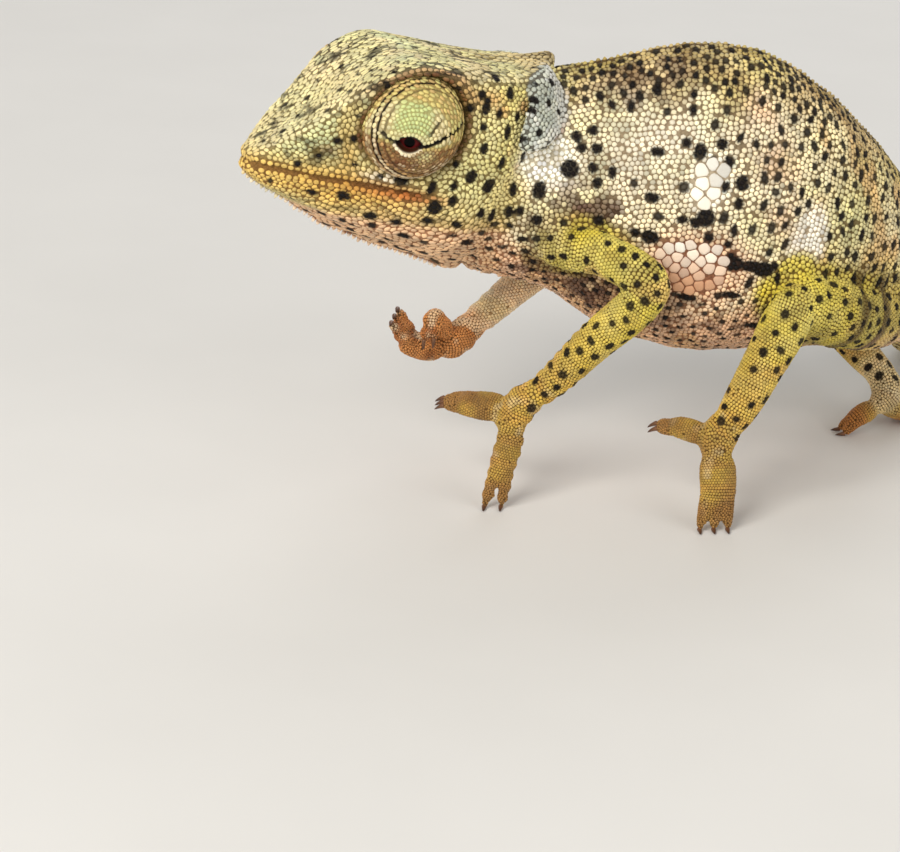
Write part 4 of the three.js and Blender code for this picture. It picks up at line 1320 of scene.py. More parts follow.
def placeSpots(roots):
    places = toHead(roots["points"])
    isHead, isSpine = roots["part"] == "head", roots["part"] == "spine"
    way = np.where(isHead[:, None], headBack, roots["way"])
    way = unit(way - roots["normal"] * (way * roots["normal"]).sum(1, keepdims=True))
    found = []

    def add(chosen, long, tall, tilt, strength):
        across = np.cross(roots["normal"][chosen], way[chosen])
        turned = way[chosen] * np.cos(tilt)[:, None] + across * np.sin(tilt)[:, None]
        found.append({"points": roots["points"][chosen], "size": np.stack([long, tall], 1), "way": turned,
                      "normal": roots["normal"][chosen], "strength": strength})
    for side in (-1, 1):
        named = np.array(headSpots)
        onSide = np.sign(places[:, 1]) == side
        gap = np.hypot(places[None, :, 0] - named[:, :1], places[None, :, 2] - named[:, 1:2])
        # where the flap lies over the head, the outer of the two takes the spot
        gap = gap - 0.3 * np.abs(places[:, 1]) + 50 * ~(onSide & (np.abs(places[:, 1]) > 1.5))
        add(gap.argmin(1), named[:, 2], named[:, 3], np.zeros(len(named)), np.ones(len(named)))
        named = np.array(flankSpots)
        gap = np.hypot((roots["station"] - named[:, :1]) * 7, (np.abs(roots["roll"]) - named[:, 1:2]) * 11)
        gap = gap + 50 * ~((np.sign(roots["roll"]) == side) & isSpine)
        add(gap.argmin(1), named[:, 2], named[:, 3], np.zeros(len(named)), np.ones(len(named)))
    handMade = joinRoots(found)["points"]
    space, long, tall = spotFields(roots)
    chosen = rng.uniform(0, 1, len(space)) < np.clip(1.1 / space ** 2, 0, 1)
    field = pick(roots, chosen)
    field["want"], field["long"], field["tall"] = space[chosen], long[chosen], tall[chosen]
    field["stretch"], field["number"] = np.ones(chosen.sum()), np.flatnonzero(chosen)
    field["score"] = rng.uniform(0, 1, chosen.sum())
    field = thinOut(field, 0.8, 2.2, 24)
    _, gaps = near(field["points"], handMade, 2.0, 1)
    white = groupReach(bigGroups["white"], field["station"], field["roll"]) < 1.4
    knobs = groupReach(bigGroups["tubercle"], field["station"], field["roll"]) < 1.25
    back, _, rise = toHead(field["points"]).T
    bareSkin = bell(back, 27.2, 2.2) * bell(rise, 5.0, 2.4) > 0.35
    along = np.zeros(len(white))
    for name, limb in limbs.items():
        mine = field["part"] == name
        along[mine] = limbMask(limb, field["points"][mine])[1]
    streak = groupReach(streakArea, field["station"], field["roll"]) < 1.2
    onTrunk = (white | knobs | streak) & (field["part"] == "spine")
    bare = (rng.uniform(0, 1, len(white)) > 0.93) | (along > 2.2) | onTrunk | bareSkin
    bare = bare | (field["part"] == "fore_right") | np.char.startswith(field["part"], "flap")
    field = pick(field, (gaps[:, 0] > 0.75 * field["want"]) & ~bare)
    count = len(field["number"])
    scatter = rng.uniform(0.78, 1.22, (2, count))
    add(field["number"], field["long"] * scatter[0], field["tall"] * scatter[1], rng.normal(0, 0.25, count),
        rng.uniform(0.93, 1.0, count))
    return joinRoots(found)


def creases(points):
    # wavy dark lines along the head: where a noise drawn out lengthwise passes its middle value
    places = toHead(points)
    back, rise = places[:, 0], places[:, 2]
    close = (back < 30) & (rise > -6)
    lines = np.zeros(len(points))
    at = places[close]
    wavy = clouds(at * (0.22, 1, 1), 0.72, 71)
    there = step(0.4, 0.56, clouds(at * (0.6, 1, 1), 1.5, 72))
    top = step(-1.2, 0.1, at[:, 2] - ridgeRise(at[:, 0]))
    snout = step(9, 6.5, at[:, 0]) * step(0.8, 1.8, at[:, 2])
    jaw = bell(at[:, 2], -1.8, 1.1) * step(20, 17, at[:, 0])
    share = np.maximum(np.maximum(0.85 * top, 0.6 * snout), 0.55 * jaw)
    lines[close] = step(0.1, 0.035, np.abs(wavy - 0.5)) * there * share * (1 - 0.5 * step(23.5, 26, at[:, 0]))
    return lines


def darkness(points, spots):
    # how black each place is: an ellipse round the middle of each spot, soft at its edge
    index, gaps = near(points, spots["points"], 1.35, 5)
    away = points[:, None] - spots["points"][index]
    way, normal = spots["way"][index], spots["normal"][index]
    x = (away * way).sum(2) / spots["size"][index, 0]
    y = (away * np.cross(normal, way)).sum(2) / spots["size"][index, 1]
    depth = np.abs((away * normal).sum(2))
    rough = 0.2 * (clouds(points, 0.33, 90) - 0.5)
    share = step(1.14, 0.94, np.hypot(x, y) + rough[:, None]) * spots["strength"][index]
    share = share * step(0.7, 0.45, depth)
    return np.maximum(np.where(gaps < np.inf, share, 0).max(1), creases(points))


# scales as small closed domes

patchSize = 0.003
studBase = 0.07  # how deep the foot of a scale lies in the skin, in millimetres


def makeStuds(roots, height, rings, lean=0.0):
    # One dome for each root, from its outline: rings at shares of the outline's reach and of the height,
    # a tip above the root, and a flat bottom. Point = root + way x + across y + normal z.
    count, sides = roots["outline"].shape[:2]
    across = np.cross(roots["normal"], roots["way"])
    tall = height * (1 + 0.22 * rng.uniform(-1, 1, count))
    shrink = roots.get("shrink", np.full(count, 0.95))
    flat = np.concatenate([roots["outline"] * share for share, _ in rings] + [np.zeros((count, 1, 2))], 1)
    levels = np.concatenate([np.full(sides, level) for _, level in rings] + [[1.0]])
    z = np.where(levels == 0, -studBase, levels * tall[:, None])
    tilt = 1 + 0.12 * rng.uniform(-1, 1, (count, len(levels)))
    x, y = (flat * shrink[:, None, None]).transpose(2, 0, 1)
    x, z = x + lean * np.maximum(z, 0), z * np.where(z > 0, tilt, 1)
    points = (roots["points"][:, None] + roots["way"][:, None] * x[..., None]
              + across[:, None] * y[..., None] + roots["normal"][:, None] * z[..., None])
    index = np.arange(len(rings) * sides).reshape(len(rings), sides)
    right = np.roll(index, -1, axis=1)
    quads = np.concatenate([np.stack([index[k], right[k], right[k + 1], index[k + 1]], 1)
                            for k in range(len(rings) - 1)])
    top = np.stack([index[-1], right[-1], np.full(sides, len(levels) - 1)], 1)
    fan = np.arange(1, sides - 1)
    bottom = np.stack([np.zeros_like(fan), fan + 1, fan], 1)
    faces = np.concatenate([quads[:, [0, 1, 2]], quads[:, [0, 2, 3]], top, bottom])
    allFaces = (faces[None] + (np.arange(count) * len(levels))[:, None, None]).reshape(-1, 3)
    rootUv = np.stack([0.03 + 0.94 * roots["u"], 0.03 + 0.94 * roots["v"]], 1)
    turn = np.arange(sides) * 2 * math.pi / sides
    circle = np.stack([np.cos(turn), np.sin(turn)], 1)
    local = np.concatenate([circle * share for share, _ in rings] + [[[0, 0]]])
    uv = rootUv[:, None] + local * patchSize / 2
    return {"points": points.reshape(-1, 3), "faces": allFaces, "uv": uv.reshape(-1, 2),
            "lift": np.tile(levels, count), "perScale": len(levels), "count": count}


def dressStuds(name, studs, tint, gap, dark, material, slot):
    mesh = makeMesh(name, toFrame(studs["points"]), [studs["faces"]])
    repeat = studs["perScale"]
    if len(dark) == studs["count"]:
        dark = np.repeat(dark, repeat)
    setLooks(mesh, np.repeat(tint, repeat, axis=0), np.repeat(gap, repeat, axis=0), dark)
    setNumbers(mesh, "lift", studs["lift"])
    setNumbers(mesh, "luck", np.repeat(rng.uniform(0, 1, studs["count"]), repeat))
    layer = mesh.uv_layers.new(name="OFBake")
    layer.data.foreach_set("uv", studs["uv"][studs["faces"].ravel()].astype(np.float32).ravel())
    return addPiece(name, mesh, material, slot)


# materials

class Wire:
    # a shader socket that takes part in ordinary sums, adding a Math node for each
    def __init__(self, tree, socket):
        self.tree, self.socket = tree, socket

    def math(self, operation, first, second):
        node = self.tree.nodes.new("ShaderNodeMath")
        node.operation = operation
        for slot, value in zip(node.inputs, (first, second)):
            if isinstance(value, Wire):
                self.tree.links.new(value.socket, slot)
            else:
                slot.default_value = value
        return Wire(self.tree, node.outputs[0])

    def __add__(self, other):
        return self.math("ADD", self, other)

    def __sub__(self, other):
        return self.math("SUBTRACT", self, other)

    def __rsub__(self, other):
        return self.math("SUBTRACT", other, self)

    def __mul__(self, other):
        return self.math("MULTIPLY", self, other)

    __radd__, __rmul__ = __add__, __mul__


class Finish:
    # a material and its nodes. node() takes a type, its settings, and the values of its sockets.
    def __init__(self, name):
        self.material = bpy.data.materials.new(name)
        self.material.use_nodes = True
        self.tree = self.material.node_tree
        self.tree.nodes.clear()
        self.shader = self.tree.nodes.new("ShaderNodeBsdfPrincipled")
        output = self.tree.nodes.new("ShaderNodeOutputMaterial")
        self.tree.links.new(self.shader.outputs[0], output.inputs[0])

    def node(self, kind, settings, sockets):
        made = self.tree.nodes.new("ShaderNode" + kind)
        for key, value in settings.items():
            if key != "stops":
                setattr(made, key, value)
                continue
            ramp = made.color_ramp.elements
            while len(ramp) < len(value):
                ramp.new(1.0)
            for stop, (place, shade) in zip(ramp, value):
                stop.position, stop.color = place, (*shade, 1)
        for key, value in sockets.items():
            self.put(made.inputs[key], value)
        return made

    def put(self, socket, value):
        if isinstance(value, Wire):
            self.tree.links.new(value.socket, socket)
        elif socket.type == "RGBA":
            socket.default_value = (*value[:3], 1)
        else:
            socket.default_value = value

    def wire(self, node, output=0):
        return Wire(self.tree, node.outputs[output])

    def attribute(self, name, output="Fac"):
        return self.wire(self.node("Attribute", {"attribute_name": name}, {}), output)

    def place(self):
        return self.wire(self.node("TexCoord", {}, {}), "Object")

    def noise(self, scale, detail=2.0):
        sockets = {"Vector": self.place(), "Scale": scale, "Detail": detail}
        return self.wire(self.node("TexNoise", {}, sockets))

    def mix(self, share, first, second, kind="MIX"):
        settings = {"data_type": "RGBA", "blend_type": kind}
        return self.wire(self.node("Mix", settings, {0: share, 6: first, 7: second}), 2)

    def ramp(self, value, low, high):
        settings = {"clamp": True, "interpolation_type": "SMOOTHSTEP"}
        return self.wire(self.node("MapRange", settings, {0: value, 1: low, 2: high, 3: 0.0, 4: 1.0}))

    def bump(self, height, strength, distance):
        sockets = {"Strength": strength, "Distance": distance, "Height": height}
        return self.wire(self.node("Bump", {}, sockets))

    def shade(self, sockets):
        for key, value in sockets.items():
            self.put(self.shader.inputs[key], value)
        return self.material


scaleLooks = {
    "scales": {"foot": (0.0, 0.5), "roughness": 0.4, "spread": 0.18, "bump": 0.35},
    "lid_scales": {"foot": (0.0, 0.62), "roughness": 0.42, "spread": 0.12, "bump": 0.3},
}


def scaleFinish(name):
    # a scale: its own tint on top, the skin's darker colour round its foot, partly painted shade where the
    # scales meet, a fine grain and a soft gloss
    look = scaleLooks[name]
    made = Finish(name)
    tint, gap = made.attribute("tint", "Color"), made.attribute("gapTint", "Color")
    lift, dark, luck = (made.attribute(key) for key in ("lift", "dark", "luck"))
    grain = made.noise(5200, 3)
    warm = made.mix(1.0, tint, (1.0, 0.92, 0.74), "MULTIPLY")
    value = made.node("HueSaturation", {}, {"Color": made.mix(luck * 0.4, tint, warm),
                                            "Value": 0.76 + luck * 0.36 + grain * 0.12})
    soot = made.mix(luck * 0.08, palette["black"], palette["brownDark"])
    top = made.mix(dark, made.wire(value), soot)
    # the foot takes the gap colour, partly the skin's own darker colour and partly painted shade between the
    # scales
    foot = made.mix(dark, gap, palette["black"])
    shade = made.mix(made.ramp(lift + (grain - 0.5) * 0.25, *look["foot"]), foot, top)
    bump = made.bump(grain + made.noise(1900, 2) * 0.6, look["bump"], 0.00006)
    return made.shade({"Base Color": shade, "Normal": bump, "Specular IOR Level": 0.24,
                       "Roughness": look["roughness"] + luck * look["spread"] + dark * 0.2})


def skinFinish():
    # the skin between scales: darker than their tops, partly its own colour and partly painted shade in the
    # gaps, pebbled and creased
    made = Finish("skin")
    tint, gap = made.attribute("tint", "Color"), made.attribute("gapTint", "Color")
    grain = made.noise(3000, 3)
    deep = made.mix(0.85, tint, made.mix(1.0, gap, (0.84, 0.8, 0.74), "MULTIPLY"))
    worn = made.mix(1.0, deep, (0.66, 0.64, 0.6), "MULTIPLY")
    shade = made.mix(made.attribute("dark") * 0.9, made.mix(made.ramp(grain, 0.3, 0.7), deep, worn),
                     palette["black"])
    crease = made.node("TexVoronoi", {"feature": "DISTANCE_TO_EDGE"},
                       {"Vector": made.place(), "Scale": 2600.0})
    bump = made.bump(made.ramp(made.wire(crease), 0.0, 0.12) + grain * 0.4, 0.6, 0.00012)
    return made.shade({"Base Color": shade, "Roughness": 0.55 + grain * 0.15, "Normal": bump,
                       "Specular IOR Level": 0.2})


# the coat's pieces

roots = cullScales(placeScales())
print("scales placed:", len(roots["points"]), flush=True)
spots = placeSpots(roots)
print("spots placed:", len(spots["points"]), flush=True)

skinMaterial = skinFinish()
scaleMaterial = scaleFinish("scales")
setLooks(skinMesh, *skinColours(skinPoints), darkness(skinPoints, spots))
skinMesh.polygons.foreach_set("use_smooth", np.ones(len(skinMesh.polygons), bool))
skinMesh.materials.clear()
skinMesh.materials.append(skinMaterial)
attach(skin, "root")
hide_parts(*[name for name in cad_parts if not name.startswith("eye_")])
print("skin coloured", flush=True)

# the map of each length is its turn across and its angle up; a limb's lengths lie side by side on it
roots["v"] = roots["angle"] / (2 * math.pi) + 0.5
roots["u"] = roots["turn"].copy()
for name, limb in limbs.items():
    mine = roots["part"] == name
    roots["u"][mine] = np.clip(limbMask(limb, roots["points"][mine])[1] / 3.1, 0, 1)

places = toHead(roots["points"])
crownShare = step(-0.8, 0.3, places[:, 2] - ridgeRise(places[:, 0])) * (roots["part"] == "head")
roots["shrink"] = 0.985 - 0.1 * crownShare * rng.uniform(0, 1, len(places)) ** 2
small = pick(roots, roots["group"] == 0)
big = pick(roots, roots["group"] > 0)
addOutlines(small, roots, 6, 0.95, 0.68)
addOutlines(big, roots, 14, 1.9, 0.7, 44)

# the rings of each form of scale, as shares of its outline and of its height
scaleRings = {
    "small": [(1.0, 0), (0.84, 0.7)],
    "big": [(1.0, 0), (0.9, 0.45), (0.76, 0.84), (0.42, 0.97)],
    "cone": [(1.0, 0), (0.8, 0.35), (0.42, 0.78)],
    "plate": [(1.0, 0), (0.86, 0.6), (0.5, 0.95)],
}
stations, left = small["station"], small["angle"] < 0
isSpine, isHead = small["part"] == "spine", small["part"] == "head"
groups = {
    "scales_head_left": isHead & left, "scales_head_right": isHead & ~left,
    "scales_neck": isSpine & (stations < 2.1),
    "scales_flank_left": isSpine & (stations >= 2.1) & (stations < 6.2) & left,
    "scales_flank_right": isSpine & (stations >= 2.1) & (stations < 6.2) & ~left,
    "scales_haunch": isSpine & (stations >= 6.2) & (stations < 9.0),
    "scales_tail": isSpine & (stations >= 9.0),
    "scales_flap_left": small["part"] == "flapLeft", "scales_flap_right": small["part"] == "flapRight",
}
groups.update({"scales_" + name: small["part"] == name for name in limbs})
slots = {"scales_flap_left": "flap_skin", "scales_flap_right": "flap_skin"}
for name, mask in groups.items():
    group = pick(small, mask)
    flat = 0.1 + 0.02 * np.isin(group["part"], list(limbs)) - 0.022 * (group["part"] == "head")
    studs = makeStuds(group, flat * group["want"] / 0.4, scaleRings["small"])
    dressStuds(name, studs, *skinColours(group["points"]), darkness(studs["points"], spots), scaleMaterial,
               slots.get(name, "skin"))

heights = np.array([group["height"] for group in bigGroups.values()])[big["group"] - 1]
bigStuds = makeStuds(big, heights, scaleRings["big"])
_, bigGap = skinColours(big["points"])
(_, knobRoll), (_, knobTall) = bigGroups["tubercle"]["at"], bigGroups["tubercle"]["size"]
pale = step(0.8, -0.6, (np.abs(big["roll"]) - knobRoll) / knobTall) * rng.uniform(0.55, 1.0, len(bigGap))
knobTint = layered(plain("tubercle", pale), [("white", pale, 0.95)])
whiteTint = palette["white"] * rng.uniform(0.72, 0.95, (len(pale), 1))
bigTint = np.where(big["group"][:, None] == 1, whiteTint, knobTint)
dressStuds("scales_large", bigStuds, bigTint, bigGap, np.zeros(len(pale)), scaleMaterial, "skin")


def evenAlong(line, pitch):
    # places at even steps along a closely set line of points
    run = np.concatenate([[0], np.cumsum(np.linalg.norm(np.diff(line, axis=0), axis=1))])
    wanted = np.arange(pitch / 2, run[-1], pitch)
    return np.stack([np.interp(wanted, run, line[:, axis]) for axis in range(3)], 1)


def makeRow(name, line, pitch, length, width, height, form):
    places, normals = projectToSkin(evenAlong(line, pitch), skin)
    count = len(places)
    row = {"points": places, "normal": normals, "way": unit(np.gradient(places, axis=0)),
           "u": np.linspace(0, 1, count), "v": np.full(count, 0.5)}
    flatWays(row)
    angle = np.arange(8) * math.pi / 4 + math.pi / 8
    size = np.stack([length * np.cos(angle), width * np.sin(angle)], 1) * 1.04
    row["outline"] = size * rng.uniform(0.88, 1.06, (count, 1, 2))
    studs = makeStuds(row, height, scaleRings[form], lean=0.12 if form == "cone" else 0)
    tint, gap = skinColours(places)
    if name in ("crest_throat", "crest_chest"):
        tint = blend(tint, palette["white"], rng.uniform(0.2, 0.75, count))
    dark = darkness(studs["points"], spots) * (form == "plate")
    dressStuds(name, studs, tint, gap, dark, scaleMaterial, "skin")


for name, settings in rowLines().items():
    makeRow(name, *settings)

# eyes: a dome of fused lids with a small opening, and the eyeball behind it


def eyeFrame(side):
    gaze = unit(eyeSettings["gaze"] * (1, side, 1))
    upward = unit(up - gaze * (up @ gaze))
    rearward = unit(np.cross(upward, gaze))
    return gaze, rearward * np.sign(rearward[0]), upward


def openingEdge(angle):
    # the almond |y| = high (1 - (x / width)^2) in polar form about its middle, in degrees
    width, above, below = eyeSettings["opening"]
    high = np.where(np.sin(angle) > 0, above, below)
    rise = np.abs(np.sin(angle))
    return 2 * high / (rise + np.sqrt(rise ** 2 + 4 * (high * np.cos(angle) / width) ** 2))


lidSettings = {
    "rim": 96.0,     # degrees from the socket's axis at which the lids end, deep in the socket
    "edge": 0.04,    # turn at the edge of the opening
    "lip": 0.5,      # thickness of the lid's edge
    "slit": {"line": [(13, -1.5), (24, 1.5), (42, 8.0), (62, 16), (84, 22)], "depth": 0.34, "width": 2.6},
    "crease": {"line": [(-13, -1), (-24, 1.5), (-34, 6)], "depth": 0.2, "width": 1.9},
    "wrinkle": {"line": [(24, 15), (30, 25), (34, 34)], "depth": 0.12, "width": 2.0},
    "rings": [(57, 0.06), (66, 0.12), (73, 0.16)],   # degrees from the axis, and depth
}


def lidPlaces(side, turn, angle):
    # Each place of the lids as a direction from the eye's middle. It swings from the opening's edge,
    # measured about the gaze, to the rim, measured about the socket's axis.
    gaze, rearward, upward = eyeFrame(side)
    share = np.clip((turn - lidSettings["edge"]) / (1 - lidSettings["edge"]), 0, 1)[..., None]
    inward = np.clip(lidSettings["edge"] - turn, 0, 1) * 22
    theta = np.radians(openingEdge(angle) - inward)[..., None]
    cos, sin = np.cos(angle)[..., None], np.sin(angle)[..., None]
    first = gaze * np.cos(theta) + (rearward * cos + upward * sin) * np.sin(theta)
    rim = math.radians(lidSettings["rim"])
    axis, level, rise = np.array([0, side, 0]), np.array([1, 0, 0]), np.array([0, 0, 1])
    last = axis * math.cos(rim) + (level * cos + rise * sin) * math.sin(rim)
    between = np.arccos(np.clip((first * last).sum(-1, keepdims=True), -1, 1))
    way = (first * np.sin((1 - share) * between) + last * np.sin(share * between)) / np.sin(between)
    degrees = np.degrees(np.arccos(np.clip(way @ gaze, -1, 1)))
    polar = np.degrees(np.arccos(np.clip(way @ axis, -1, 1)))
    flat = np.stack([way @ rearward, way @ upward], -1)
    flat = flat / np.maximum(np.linalg.norm(flat, axis=-1, keepdims=True), 1e-9) * degrees[..., None]
    return way, polar, flat


def slitGap(flat, name):
    line = spline(np.array(lidSettings[name]["line"], float), np.linspace(0, 1, 70))
    return np.sqrt(((flat[..., None, :] - line) ** 2).sum(-1).min(-1))


def lidDome(side, inset):
    # The dome of the lids as a function of turn, 0 inside the opening's edge and 1 at the rim, and of
    # the angle round it: the eye's middle + direction * (ellipsoid's reach - depth of its folds).
    centre = eyeSettings["centre"] * (1, side, 1)
    semi = np.array([eyeSettings["radius"], eyeSettings["bulge"], eyeSettings["radius"]]) - inset

    def surface(turn, angle):
        turn, angle = np.broadcast_arrays(np.asarray(turn, float), np.asarray(angle, float))
        way, polar, flat = lidPlaces(side, turn, angle)
        reach = 1 / np.linalg.norm(way / semi, axis=-1)
        for name in ("slit", "crease", "wrinkle"):
            fold = lidSettings[name]
            reach = reach - fold["depth"] * bell(slitGap(flat, name), 0, fold["width"])
        for place, deep in lidSettings["rings"]:
            reach = reach - deep * bell(polar, place, 1.1)
        reach = reach + 0.1 * bell(turn, 0.08, 0.04)
        reach = reach - lidSettings["lip"] * np.clip(1 - turn / lidSettings["edge"], 0, 1)
        return fromHead(centre + way * reach[..., None])
    return surface


def lidColours(side, turn, angle):
    # a fan of pale green on the upper lid, khaki and tan in rings above it, brown below with a cream
    # edge under the opening, and painted shade: dark rings round the rim, a dark slit behind the opening,
    # dark lines in the crease and the wrinkle, a dark upper edge to the opening and a near-black inner lip
    way, polar, flat = lidPlaces(side, turn, angle)
    x, y = flat[:, 0], flat[:, 1]
    degrees = np.hypot(x, y)
    arcs = 0.5 + 0.5 * np.sin(degrees * 2 * math.pi / 7.0)
    luck = steady(np.round(way * 30), 17)
    fan = step(-3, 3, y) * step(56, 46, degrees - 0.1 * np.abs(x))
    low = step(0, -8, y)
    edge = openingEdge(angle)
    rim = step(edge + 3.6, edge + 2.6, degrees) * step(3, -3, y)
    # painted shade: the lid's lip inside the opening is made near black
    inside = step(edge + 0.4, edge - 0.4, degrees)
    tint = layered(plain("lidKhaki", turn), [
        ("lime", step(0.6, 1.0, luck) * 0.35),
        ("lime", fan),
        ("crownWhite", fan * np.maximum(step(16, 30, np.abs(x)) * 0.9, step(18, 11, y) * 0.6)),
        ("tan", step(-2, 5, y) * step(50, 58, degrees) * step(0.5, 0.95, arcs) * 0.6),
        ("lidBrown", low * (0.6 + 0.4 * arcs)),
        ("tan", low * step(0.5, 0.8, luck) * 0.7),
        ("brownDark", low * step(0.35, 0.05, arcs) * step(-4, -10, y) * 0.6),
        ("cream", low * step(0.75, 0.95, arcs) * step(-20, -34, y) * 0.5),
        ("paleGreen", low * bell(x, 23, 10) * bell(y, -14, 8) * 0.8),
        ("rust", bell(x, -5, 17) * bell(y, -28, 8) * step(0.25, 0.5, luck) * 0.95, 0.4),
        ("cream", (bell(polar, 69.5, 1.6) + bell(polar, 80, 2.5)) * step(16, 0, y) * 0.6),
        ("cream", rim),
        ("rust", inside, 0.16),
    ])
    gap = layered(plain("gapHead", turn), [
        ("rust", np.maximum(step(58, 68, polar) * 0.6, low * 0.8), 0.6),
        ("cream", rim),
        ("rust", inside, 0.16),
    ])
    # painted shade: near black along the grooves of the slit, the crease and the wrinkle, along the upper
    # edge of the opening and on the upper inner lip
    darks = [0.99 * step(1.0, 0.7, slitGap(flat, "slit") / (3.0 + 0.025 * degrees)),
             0.9 * step(3.6, 1.8, slitGap(flat, "crease")),
             0.75 * step(3.2, 1.4, slitGap(flat, "wrinkle")),
             0.97 * step(edge + 3.0, edge + 1.4, degrees) * step(-3, 1, y),
             (turn < 0.035) * step(-6, 0, y)]
    # painted shade: a dark line along each ring's groove, darker the deeper the groove
    darks += [np.clip(deep * 8, 0, 0.95) * step(1.9, 1.0, np.abs(polar - place))
              for place, deep in lidSettings["rings"]]
    return tint, gap, np.clip(np.max(darks, axis=0), 0, 1)


def lidSkin(side):
    rings, sides = 130, 200
    turn = np.linspace(0, 1, rings) ** 1.1
    angle = np.linspace(-math.pi, math.pi, sides, endpoint=False)
    grid = lidDome(side, 0.1)(turn[:, None], angle[None])
    hub = grid[0].mean(0) - (fromHead(eyeSettings["gaze"] * (1, side, 1)) - snoutTip) * 0.8
    points, faceSets = closedGrid(grid, np.stack([hub, grid[-1].mean(0)]))
    turns = np.concatenate([np.repeat(turn, sides), [0, 1]])
    angles = np.concatenate([np.tile(angle, rings), [0, 0]])
    return points, faceSets, turns, angles


def faceOutward(mesh):
    work = bmesh.new()
    work.from_mesh(mesh)
    bmesh.ops.recalc_face_normals(work, faces=work.faces[:])
    work.to_mesh(mesh)
    work.free()


def eyeballFinish():
    made = Finish("eyeball")
    grain = made.noise(2500, 2)
    stops = [(0.0, palette["black"] * 0.15), (0.2, palette["black"] * 0.2), (0.26, colour(104, 30, 30)),
             (0.55, colour(66, 16, 20)), (1.0, colour(36, 10, 12))]
    ring = made.node("ValToRGB", {"stops": stops}, {"Fac": made.attribute("off")})
    shade = made.mix(grain * 0.35, made.wire(ring), palette["black"] * 0.5)
    return made.shade({"Base Color": shade, "Roughness": 0.1 + grain * 0.05, "Specular IOR Level": 0.07})


eyeballSettings = {"radius": 2.1, "ahead": 1.7, "rings": 40, "sides": 64, "name": "eyeball_"}


def makeEyeball(side, word, material):
    gaze, rearward, upward = eyeFrame(side)
    middle = eyeSettings["centre"] * (1, side, 1) + gaze * eyeballSettings["ahead"]

    def surface(turn, angle):
        # a sphere about the gaze: middle + radius (cos(pi turn) gaze + sin(pi turn) round it)
        turn, angle = np.broadcast_arrays(turn, angle)
        theta = math.pi * turn[..., None]
        flat = rearward * np.cos(angle)[..., None] + upward * np.sin(angle)[..., None]
        return fromHead(middle + eyeballSettings["radius"] * (gaze * np.cos(theta) + flat * np.sin(theta)))
    points, faceSets = ballMesh(surface, eyeballSettings["rings"], eyeballSettings["sides"])
    mesh = makeMesh(eyeballSettings["name"] + word, toFrame(points), faceSets)
    faceOutward(mesh)
    away = np.degrees(np.arccos(np.clip(unit(toHead(points) - middle) @ gaze, -1, 1)))
    setNumbers(mesh, "off", away / 60)
    addPiece(mesh.name, mesh, material, "eye")


def lidPitch(turn, angle):
    return 0.34 + 0.07 * turn + 0 * angle


def closeLidPitch(turn, angle):
    return 0.55 * lidPitch(turn, angle)


eyeballMaterial = eyeballFinish()
lidMaterial = scaleFinish("lid_scales")
for side, word in bothSides:
    points, faceSets, turns, angles = lidSkin(side)
    mesh = makeMesh("lids_" + word, toFrame(points), faceSets)
    faceOutward(mesh)
    setLooks(mesh, *lidColours(side, turns, angles))
    # a low lift gives the lid skin mostly the darker gap colour, partly painted shade, and the top tint by
    # the opening
    setNumbers(mesh, "lift", 0.25 + 0.5 * step(0.085, 0.06, turns))
    setNumbers(mesh, "luck", np.full(len(points), 0.4))
    addPiece(mesh.name, mesh, lidMaterial, "lid_skin", ["eye_" + word])
    # even rows by the opening, and beyond them a closer set that is thinned out
    inner = candidates("lids", lidDome(side, 0.1), lidPitch, 0.055, 0.42)
    outer = candidates("lids", lidDome(side, 0.1), closeLidPitch, 0.36, 0.9, 1.0)
    outer["want"] = lidPitch(outer["turn"], outer["angle"])
    lids = joinRoots([inner, outer])
    lids["normal"] = unit(lids["points"] - fromHead(eyeSettings["centre"] * (1, side, 1)))
    # outside the middle of the upper lid the scales are drawn out along the rings
    lids["way"] = np.cross(lids["normal"], lids["way"])
    _, polar, flat = lidPlaces(side, lids["turn"], lids["angle"])
    degrees = np.linalg.norm(flat, axis=1)
    lids["stretch"] = 1 + 0.5 * step(34, 48, degrees)
    flatWays(lids)
    bare = np.min([np.abs(polar - place) for place, _ in lidSettings["rings"]], axis=0) < 2.1
    for name, reach in (("slit", 2.9 + 0.02 * degrees), ("crease", 2.2), ("wrinkle", 1.4)):
        bare |= slitGap(flat, name) < reach
    lids = thinOut(pick(lids, ~bare), coatSettings["lidThin"], 0.8, 40)
    lids["shrink"] = np.full(len(lids["turn"]), 0.97)
    addOutlines(lids, lids, 6, 0.9, 0.64)
    lids["u"] = 0.5 + 0.45 * lids["turn"] * np.cos(lids["angle"])
    lids["v"] = 0.5 + 0.45 * lids["turn"] * np.sin(lids["angle"])
    studs = makeStuds(lids, np.full(len(lids["turn"]), 0.075), scaleRings["small"])
    looks = lidColours(side, lids["turn"], lids["angle"])
    dressStuds("lid_scales_" + word, studs, *looks, lidMaterial, "lid_skin")
    makeEyeball(side, word, eyeballMaterial)

# claws


def clawFinish():
    made = Finish("claw")
    grain = made.noise(2200, 3)
    shade = made.mix(made.attribute("lift"), colour(132, 88, 54), colour(58, 34, 26))
    return made.shade({"Base Color": made.mix(grain * 0.4, shade, colour(60, 38, 28)),
                       "Roughness": 0.3 + grain * 0.15, "Normal": made.bump(grain, 0.2, 0.00004)})


